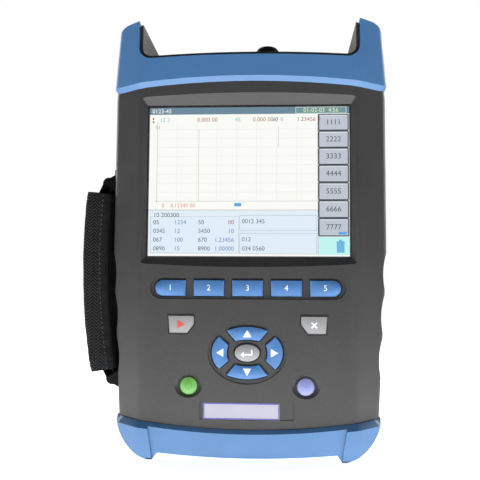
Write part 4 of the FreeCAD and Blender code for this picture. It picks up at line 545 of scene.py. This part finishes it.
def display_picture():
    """The lit picture: title bar, trace area with grid, settings panel and a column of buttons."""
    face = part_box("display_module")[0][1]
    left, top = MIDDLE - ACTIVE_WIDE / 2, centre("screen_lens").z + ACTIVE_TALL / 2
    colours = {
        "plate": (246, 247, 242), "title": (92, 126, 145), "date": (96, 142, 142),
        "panel": (220, 233, 245), "button": (184, 192, 204), "corner": (185, 240, 235),
        "grid": (226, 227, 222), "edge": (150, 156, 160), "dark": (46, 56, 68),
        "cream": (226, 232, 196), "cell": (96, 176, 222), "white": (252, 252, 252),
        "red": (168, 66, 58), "cyan": (112, 190, 204), "blue": (70, 116, 176),
        "marker": (70, 160, 215), "grey": (150, 150, 148), "orange": (222, 120, 88),
    }
    depth = {"plate": 1, "title": 2, "panel": 2, "corner": 2, "grid": 3, "button": 3, "date": 3}
    sheets = {
        name: Marks(f"picture_{name}", lit(f"picture_{name}", linear(*colour)), "display_white",
                    "casing", face - LAYER * depth.get(name, 4))
        for name, colour in colours.items()
    }

    def box(colour, u0, v0, u1, v1):
        """A rectangle; u runs right and v down, as shares of the lit area."""
        sheets[colour].box(left + u0 * ACTIVE_WIDE, top - v1 * ACTIVE_TALL,
                           left + u1 * ACTIVE_WIDE, top - v0 * ACTIVE_TALL)

    def rows(colour, places, u0, u1, line=ROW_LINE):
        for place in places:
            box(colour, u0, place - line / 2, u1, place + line / 2)

    def columns(colour, places, v0, v1, line=COLUMN_LINE):
        for place in places:
            box(colour, place - line / 2, v0, place + line / 2, v1)

    def outline(colour, u0, v0, u1, v1, bold=1.0):
        rows(colour, (v0, v1), u0, u1, ROW_LINE * bold)
        columns(colour, (u0, u1), v0, v1, COLUMN_LINE * bold)

    def words(colour, text, u, v, size=0.0035, align="LEFT"):
        sheets[colour].text(text, size, left + u * ACTIVE_WIDE, top - v * ACTIVE_TALL, align)

    box("plate", 0, 0, 1, 1)
    box("title", 0, 0, 1, 0.047)
    rows("white", (0.05,), 0, 1)
    words("white", "0123-45", 0.012, 0.025, 0.0034)
    box("date", 0.735, 0.003, 0.985, 0.044)
    outline("white", 0.735, 0.003, 0.985, 0.044)
    words("cream", "01-02-03  4:56", 0.86, 0.024, 0.0034, "CENTER")
    # trace area
    rows("grid", [0.15 + 0.0605 * step for step in range(8)], 0.04, PLOT_RIGHT)
    columns("grid", [0.04 + 0.1 * step for step in range(1, 9)], 0.1, PLOT_LOW)
    columns("edge", (0.04,), 0.1, 0.65)
    rows("edge", (PLOT_LOW,), 0.03, PLOT_RIGHT)
    columns("grey", (0.25,), 0.15, PLOT_LOW)
    columns("grey", (0.65,), 0.13, 0.27)
    for v in (0.075, 0.098):
        box("red", 0.014, v - 0.006, 0.022, v + 0.006)
    for u, text in ((0.05, "12 3"), (0.43, "45"), (0.62, "67 8")):
        words("cyan", text, u, 0.085, 0.0034)
    for u, text in ((0.24, "0.000 00"), (0.52, "0.000 00/0"), (0.74, "1.23456 0")):
        words("red", text, u, 0.085, 0.0034)
    words("grey", "01", 0.03, 0.135, 0.003)
    box("marker", 0.43, 0.646, 0.465, 0.669)
    words("orange", "0", 0.065, 0.664, 0.0032)
    words("orange", "0.12345 00", 0.11, 0.664, 0.0032)
    # settings panel
    rows("grey", (0.694,), 0, 0.845, 0.004)
    box("panel", 0, 0.7, 0.845, 0.985)
    outline("white", 0.01, 0.732, 0.45, 0.975)
    outline("edge", 0.012, 0.735, 0.452, 0.978)
    words("dark", "10 200300", 0.025, 0.728)
    lines = ((0.776, "1234", "5", "00"), (0.834, "12", "345", "10"),
             (0.893, "100", "67", "1.23456"), (0.951, "15", "890", "1.00000"))
    for v, first, second, third in lines:
        words("dark", "0" + second, 0.025, v)
        words("blue", first, 0.13, v)
        words("dark", second + "0", 0.25, v)
        words("red" if v < 0.8 else "blue", third, 0.43, v, align="RIGHT")
    for low, high, text in ((0.73, 0.83, "0012 345"), (0.849, 0.984, "012")):
        outline("edge", 0.458, low, 0.838, high)
        words("dark", text, 0.468, low + 0.04)
    words("dark", "034 0560", 0.468, 0.95)
    # buttons
    edges = (0.05, 0.163, 0.278, 0.393, 0.51, 0.629, 0.747, 0.868)
    for number, (low, high) in enumerate(zip(edges, edges[1:])):
        box("button", 0.848, low + 0.004, 0.997, high - 0.004)
        outline("dark", 0.849, low + 0.003, 0.995, high - 0.003, 3.6)
        rows("white", (low + 0.012,), 0.856, 0.988)
        words("dark", str(number + 1) * 4, 0.922, (low + high) / 2, 0.0044, "CENTER")
    box("marker", 0.945, 0.838, 0.986, 0.856)
    columns("dark", (0.845,), 0.05, 0.99)
    box("corner", 0.848, 0.872, 1, 0.99)
    box("cell", 0.936, 0.9, 0.974, 0.975)
    box("cell", 0.947, 0.89, 0.963, 0.9)
    rows("corner", (0.918, 0.938, 0.958), 0.942, 0.968, 0.004)
    for sheet in sheets.values():
        sheet.finish()
    rim = Marks("picture_rim", MATERIALS["black_plastic"], "black_plastic", "casing", face - LAYER)
    across, up = left + ACTIVE_WIDE / 2, top - ACTIVE_TALL / 2
    wide, tall = ACTIVE_WIDE / 2 + BORDER, ACTIVE_TALL / 2 + BORDER
    rim.frame(across - wide, up - tall, across + wide, up + tall, BORDER)
    rim.finish()


display_picture()


# ---------------------------------------------------------------- keys

# ring of painted shade round a key, for the gap: inner and outer reach, and a rise that makes the
# painted shadow wider above the key
SHADE_RING_IN = 0.8 * MM
SHADE_RING_OUT = 1.35 * MM
SHADE_RING_RISE = 0.2 * MM
# keys left without the ring of painted shade
NO_SHADE_RING = ("power_key", "light_key")
FILM = 0.03 * MM
INK = 0.05 * MM
DIGIT = 4.6 * MM
# height of each key's domed face, in millimetres
CROWNS = {
    "soft_key_1": 0.8, "soft_key_2": 0.8, "soft_key_3": 0.8, "soft_key_4": 0.8,
    "soft_key_5": 0.8, "start_key": 0.5, "escape_key": 0.5, "enter_key": 0.7,
    "arrow_up_key": 0.5, "arrow_down_key": 0.5, "arrow_left_key": 0.5,
    "arrow_right_key": 0.5, "power_key": 0.8, "light_key": 0.8,
}


def top_outline(node):
    """The rim of a key's flat top, in order, as points."""
    mesh = NODES[node].data
    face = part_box(node)[0][1]
    uses = {}
    for polygon in mesh.polygons:
        if all(abs(mesh.vertices[number].co.y - face) < 1e-6 for number in polygon.vertices):
            for edge in polygon.edge_keys:
                uses[edge] = uses.get(edge, 0) + 1
    after = {}
    for (one, two), count in uses.items():
        if count == 1:
            after.setdefault(one, []).append(two)
            after.setdefault(two, []).append(one)
    start = min(after)
    loop, before = [start], None
    while True:
        step = [number for number in after[loop[-1]] if number != before]
        before = loop[-1]
        if not step or step[0] == start:
            break
        loop.append(step[0])
    return [mesh.vertices[number].co.copy() for number in loop]


def crown(node):
    """A gently crowned cap face over a key's flat top; returns it as a surface to print on."""
    rim = top_outline(node)
    height = CROWNS[node] * MM
    middle = sum(rim, Vector()) / len(rim)
    shares = (1.0, 0.92, 0.8, 0.65, 0.48, 0.3, 0.14)
    points = []
    for share in shares:
        for point in rim:
            spot = middle + (point - middle) * share
            spot.y = middle.y - height * (1 - share * share)
            points.append(spot)
    count = len(rim)
    points.append(Vector((middle.x, middle.y - height, middle.z)))
    faces = tube_faces(0, len(shares) - 1, count)
    last = (len(shares) - 1) * count
    faces += [(last + place, last + (place + 1) % count, len(points) - 1) for place in range(count)]
    turn = (points[1] - points[0]).cross(points[count] - points[0]).y
    if turn > 0:
        faces = [face[::-1] for face in faces]
    slot = next(part["material_slot"] for part in frame["record"]["subparts"]
                if part["node"] == node)
    piece = new_mesh(f"{node}_crown", points, faces, MATERIALS[slot], smooth=True)
    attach(piece, node)
    return BVHTree.FromPolygons(points, faces)


def painted_gap_shade_ring(node, shell):
    """A flat dark ring on the casing round a key: painted shade for the gap round the key, raised
    so that it lies wider above the key, as a painted shadow.
    """
    rim = top_outline(node)
    middle = sum(rim, Vector()) / len(rim)
    count = len(rim)
    points, depths = [], []
    for place, point in enumerate(rim):
        along = rim[(place + 1) % count] - rim[place - 1]
        away = Vector((along.z, 0, -along.x)).normalized()
        if away.dot(point - middle) < 0:
            away = -away
        outer = point + away * SHADE_RING_OUT + Vector((0, 0, SHADE_RING_RISE))
        points += [point + away * SHADE_RING_IN, outer]
        hit = shell.ray_cast(Vector((outer.x, outer.y - 0.02, outer.z)), Vector((0, 1, 0)))[0]
        if hit is not None:
            depths.append(hit.y)
    deep = sorted(depths)[len(depths) // 2] - FILM
    points = [(point.x, deep, point.z) for point in points]
    faces = []
    for place in range(count):
        one, two = 2 * place, 2 * ((place + 1) % count)
        faces.append((one, one + 1, two + 1, two))
    # the ring is painted shade, drawn in the black rubber material
    piece = new_mesh(f"{node}_gap_shade", points, faces, MATERIALS["black_rubber"])
    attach(piece, "casing")


def key_marks(node, surface, material, slot, draw):
    """Marks printed on a key, drawn round the key's middle."""
    spot = centre(node)
    marks = Marks(f"{node}_legend", material, slot, node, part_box(node)[0][1] - MM)
    draw(marks, spot.x, spot.z)
    marks.finish(surface, INK)


def triangle(turn, size=2.3 * MM):
    """An arrow head that points up, turned anticlockwise by turn degrees."""
    def draw(marks, across, up):
        angle = math.radians(turn)
        corners = [(-size, -size * 0.8), (size, -size * 0.8), (0, size * 0.95)]
        marks.polygon([
            (across + x * math.cos(angle) - y * math.sin(angle),
             up + x * math.sin(angle) + y * math.cos(angle)) for x, y in corners])
    return draw


def number_mark(words):
    """A plain number."""
    return lambda marks, across, up: marks.text(words, DIGIT, across, up)


def escape_mark(marks, across, up):
    """A cross."""
    half_long, half_thick = 2.2, 0.42
    for turn in (45, -45):
        angle = math.radians(turn)
        ahead = Vector((math.cos(angle), math.sin(angle))) * half_long * MM
        aside = Vector((-math.sin(angle), math.cos(angle))) * half_thick * MM
        spot = Vector((across, up))
        marks.polygon([spot - ahead - aside, spot + ahead - aside, spot + ahead + aside,
                       spot - ahead + aside])


def enter_mark(marks, across, up):
    """A return arrow."""
    half_line = 0.4 * MM
    shaft, right, barbs = up - 0.9 * MM, across + 3 * MM, across - 1.8 * MM
    marks.box(across - 2.2 * MM, shaft - half_line, right, shaft + half_line)
    marks.box(right - 2 * half_line, shaft + half_line, right, up + 1.8 * MM)
    marks.polygon([(across - 3.6 * MM, shaft), (barbs, up - 2.5 * MM), (barbs, up + 0.7 * MM)])


def power_mark(marks, across, up):
    """An open ring with a bar."""
    marks.ring(across, up, 1.6 * MM, 2.1 * MM, 120, 420)
    marks.box(across - 0.25 * MM, up, across + 0.25 * MM, up + 2.5 * MM)


def light_mark(marks, across, up):
    """A disc with eight rays."""
    marks.ring(across, up, 0.0, 1.0 * MM)
    for number in range(8):
        marks.ring(across, up, 1.6 * MM, 2.5 * MM, 45 * number - 7, 45 * number + 7, 1)


def keys():
    """A domed face and a printed sign for every key, and a ring of painted gap shade for all but
    two.
    """
    white = paint("legend_white", linear(232, 238, 244))
    red = paint("legend_red", linear(205, 84, 70))
    draws = {f"soft_key_{n}": (white, number_mark(str(n))) for n in range(1, 6)}
    draws.update({
        "start_key": (red, triangle(-90, 2.5 * MM)),
        "escape_key": (white, escape_mark),
        "enter_key": (white, enter_mark),
        "arrow_up_key": (white, triangle(0)),
        "arrow_left_key": (white, triangle(90)),
        "arrow_down_key": (white, triangle(180)),
        "arrow_right_key": (white, triangle(-90)),
        "power_key": (paint("legend_green", linear(84, 148, 62)), power_mark),
        "light_key": (paint("legend_violet", linear(120, 124, 190)), light_mark),
    })
    mesh = NODES["front_shell"].data
    shell = BVHTree.FromPolygons([point.co for point in mesh.vertices],
                                 [tuple(face.vertices) for face in mesh.polygons])
    for node, (material, draw) in draws.items():
        if node not in NO_SHADE_RING:
            painted_gap_shade_ring(node, shell)
        key_marks(node, crown(node), material, "label_white", draw)


keys()


# ---------------------------------------------------------------- label plate

LABEL_MARGIN, LABEL_RIM = 0.1 * MM, 0.6 * MM
DIVIDER_LEFT, DIVIDER_RIGHT, DIVIDER_MARGIN = 8.6 * MM, 8.85 * MM, 1.6 * MM


def label():
    """The printed rim and divider of the label plate."""
    low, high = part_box("label_plate")
    ink = Marks("label_rim", paint("label_blue", linear(82, 78, 168)), "label_white", "casing",
                low[1] - FILM)
    ink.frame(low[0] + LABEL_MARGIN, low[2] + LABEL_MARGIN,
              high[0] - LABEL_MARGIN, high[2] - LABEL_MARGIN, LABEL_RIM)
    ink.finish()
    inner = Marks("label_line", paint("label_pale", linear(168, 166, 206)), "label_white", "casing",
                  low[1] - FILM)
    inner.box(low[0] + DIVIDER_LEFT, low[2] + DIVIDER_MARGIN,
              low[0] + DIVIDER_RIGHT, high[2] - DIVIDER_MARGIN)
    inner.finish()


label()


# ---------------------------------------------------------------- strap

PAD_LOW, PAD_HIGH = 0.046, 0.151
PAD_OUT_LOW, PAD_OUT_HIGH = 0.0942, 0.0986
PAD_BOW = 0.0034
PAD_THICK = 0.0178
PAD_WIDE = 0.033
PAD_INSET = 0.0003
PAD_SQUARE = 0.34
HEM = 0.0048
STITCH_ROW = -0.0026
STITCH_SINK = 0.0007
EDGE_STITCHES, EDGE_STITCH = 36, (0.0019, 0.00075)
HEM_STITCHES, HEM_STITCH, HEM_PITCH = 11, (0.0018, 0.0006), 0.0025
STRAP_DEEP = centre("strap_pad").y
WEB_WIDE = 0.0246
WEB_THICK = 0.0019
WEB_TURN = 0.0024
LOOP_RADIUS, LOOP_STEPS = 0.0031, 12
HIGH_BAR, LOW_BAR = (MIDDLE - 0.0850, 0.157), (MIDDLE - 0.08067, 0.0412)


def outwards_of(ahead):
    """Square to the sleeve's run, away from the casing."""
    return Vector((-ahead.z, 0, ahead.x))


def strap_point(share):
    """Middle of the sleeve at a share of its height, and the direction it runs in."""
    def spot(t):
        out = PAD_OUT_LOW + (PAD_OUT_HIGH - PAD_OUT_LOW) * t + PAD_BOW * (1 - (2 * t - 1) ** 2)
        up = PAD_LOW + (PAD_HIGH - PAD_LOW) * t
        return Vector((MIDDLE - out + PAD_THICK / 2, STRAP_DEEP, up))
    return spot(share), (spot(share + 0.01) - spot(share - 0.01)).normalized()


def sleeve_section(turn, share):
    """One point of the sleeve's section, from its middle: how far outwards and how far back.

    The ends are drawn in, a groove marks each hem, and a step marks each stitched edge.
    """
    cosine, sine = math.cos(turn), math.sin(turn)
    out = math.copysign(abs(cosine) ** PAD_SQUARE, cosine) * (PAD_THICK / 2 - PAD_INSET)
    back = math.copysign(abs(sine) ** PAD_SQUARE, sine) * (PAD_WIDE / 2 - PAD_INSET)
    end = min(share, 1 - share) * (PAD_HIGH - PAD_LOW)
    plump = 0.96 + 0.04 * smooth_step(end / 0.004)
    groove = 0.045 * math.exp(-((end - HEM) / 0.0007) ** 2)
    out *= plump - groove
    back *= 0.97 + 0.03 * smooth_step(end / 0.006) - groove * 0.3
    inner = smooth_step((STITCH_ROW - out) / 0.0012)
    if abs(back) > PAD_WIDE * 0.38:
        back -= math.copysign(0.0006 * inner, back)
        back -= math.copysign(0.0004 * math.exp(-((out - STITCH_ROW) / 0.0005) ** 2), back)
    return out, back


def strap_sleeve():
    """The padded sleeve, with hems, a stitched edge on both sides and a slight pucker."""
    stations, around = 150, 96
    puckers, pucker_deep, lump_deep, lumps = 39, 0.00012, 0.00022, 160
    points = []
    for station in range(stations + 1):
        share = station / stations
        spot, ahead = strap_point(share)
        outwards = outwards_of(ahead)
        for place in range(around):
            out, back = sleeve_section(2 * math.pi * place / around, share)
            point = spot + outwards * out + Vector((0, back, 0))
            normal = (outwards * out * 3 + Vector((0, back, 0))).normalized()
            near_row = math.exp(-((out - STITCH_ROW) / 0.003) ** 2)
            pucker = pucker_deep * math.sin(share * 2 * math.pi * puckers) * near_row
            soft = lump_deep * noise.noise(point * lumps)
            points.append(point + normal * (pucker + soft))
    faces = tube_faces(0, stations, around, flip=True)
    for station, share, flip in ((0, 0.0, False), (stations, 1.0, True)):
        spot, ahead = strap_point(share)
        start = station * around
        outwards = outwards_of(ahead)
        inset = len(points)
        for place in range(around):
            out, back = sleeve_section(2 * math.pi * place / around, share)
            points.append(spot + outwards * out * 0.55 + Vector((0, back * 0.8, 0))
                          + ahead * (0.0012 if not flip else -0.0012))
        ring = [(start + place, start + (place + 1) % around, inset + (place + 1) % around,
                 inset + place) for place in range(around)]
        ring.append(tuple(inset + place for place in range(around)))
        faces += [face[::-1] for face in ring] if flip else ring
    piece = new_mesh("strap_sleeve", points, faces, MATERIALS["strap_fabric"], smooth=True)
    # the inner side, inside the stitch row, takes the plain dark lining rubber with no weave:
    # painted shade for the side turned to the casing
    piece.data.materials.append(MATERIALS["strap_lining"])
    painted_shade_side = [sleeve_section(2 * math.pi * place / around, 0.5)[0] < STITCH_ROW
             for place in range(around)]
    for face in piece.data.polygons:
        ring = [number % around for number in face.vertices]
        face.material_index = int(len(ring) == 4 and all(painted_shade_side[place] for place in ring))
    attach(piece, "casing")
    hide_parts("strap_pad")


def stitch(points, faces, spot, ahead, side, long, thick):
    """One stitch, long and thick as given: a short plump thread, as a stretched ball."""
    start = len(points)
    aside = side.cross(ahead)
    rings, around = 5, 7
    for ring in range(rings + 1):
        angle = math.pi * ring / rings
        for place in range(around):
            turn = 2 * math.pi * place / around
            points.append(spot + ahead * (-math.cos(angle) * long / 2)
                          + (side * math.cos(turn) + aside * math.sin(turn))
                          * (math.sin(angle) * thick / 2 + 0.00001))
    faces += tube_faces(start, rings, around)


def strap_stitches():
    """Stitch rows along both edges of the sleeve and across its two hems."""
    points, faces = [], []
    for number in range(EDGE_STITCHES):
        share = (number + 0.5) / EDGE_STITCHES
        spot, ahead = strap_point(share)
        outwards = outwards_of(ahead)
        for side in (-1, 1):
            deep = Vector((0, side * (PAD_WIDE / 2 - STITCH_SINK), 0))
            stitch(points, faces, spot + outwards * STITCH_ROW + deep, ahead, Vector((0, side, 0)),
                   *EDGE_STITCH)
    hem = HEM / (PAD_HIGH - PAD_LOW)
    for share in (hem, 1 - hem):
        spot, ahead = strap_point(share)
        outwards = outwards_of(ahead)
        for number in range(HEM_STITCHES):
            back = Vector((0, (number - HEM_STITCHES // 2) * HEM_PITCH, 0))
            place = spot + outwards * (PAD_THICK / 2 - STITCH_SINK) + back
            stitch(points, faces, place, Vector((0, 1, 0)), outwards, *HEM_STITCH)
    piece = new_mesh("strap_stitches", points, faces, MATERIALS["strap_thread"], smooth=True)
    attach(piece, "casing")


def web_path(start, bar, finish, first, last):
    """From the sleeve round a strap bar, between two angles, and back: points across and up."""
    path = [Vector(start)]
    for step in range(LOOP_STEPS + 1):
        angle = math.radians(first + (last - first) * step / LOOP_STEPS)
        path.append(Vector((bar[0] + LOOP_RADIUS * math.cos(angle),
                            bar[1] + LOOP_RADIUS * math.sin(angle))))
    path.append(Vector(finish))
    return path


def strap_webbing():
    """The webbing's two loops round the strap bars, each a folded band."""
    paths = []
    for share, bar, up, first, last in ((1.0, HIGH_BAR, 0.1475, 190, -25),
                                        (0.0, LOW_BAR, 0.0495, 165, 385)):
        across = strap_point(share)[0].x
        paths.append(web_path((across - WEB_TURN, up), bar, (across + WEB_TURN, up), first, last))
    points, faces = [], []
    ribs = 9
    for path in paths:
        start = len(points)
        ring = 2 * ribs
        for number, spot in enumerate(path):
            before = path[max(0, number - 1)]
            after = path[min(len(path) - 1, number + 1)]
            ahead = (after - before).normalized()
            aside = Vector((ahead.y, -ahead.x)) * WEB_THICK / 2
            for side in (1, -1):
                for rib in range(ribs):
                    share = rib / (ribs - 1) if side == 1 else 1 - rib / (ribs - 1)
                    edge = 0.55 + 0.45 * smooth_step(min(share, 1 - share) * 8)
                    place = spot + aside * side * edge
                    deep = STRAP_DEEP + (share - 0.5) * WEB_WIDE
                    points.append(Vector((place.x, deep, place.y)))
        faces += tube_faces(start, len(path) - 1, ring)
        last = start + (len(path) - 1) * ring
        faces.append(tuple(start + place for place in range(ring))[::-1])
        faces.append(tuple(last + place for place in range(ring)))
    piece = new_mesh("strap_web", points, faces, MATERIALS["strap_webbing"], smooth=True)
    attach(piece, "casing")
    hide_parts("strap_webbing")


strap_sleeve()
strap_stitches()
strap_webbing()
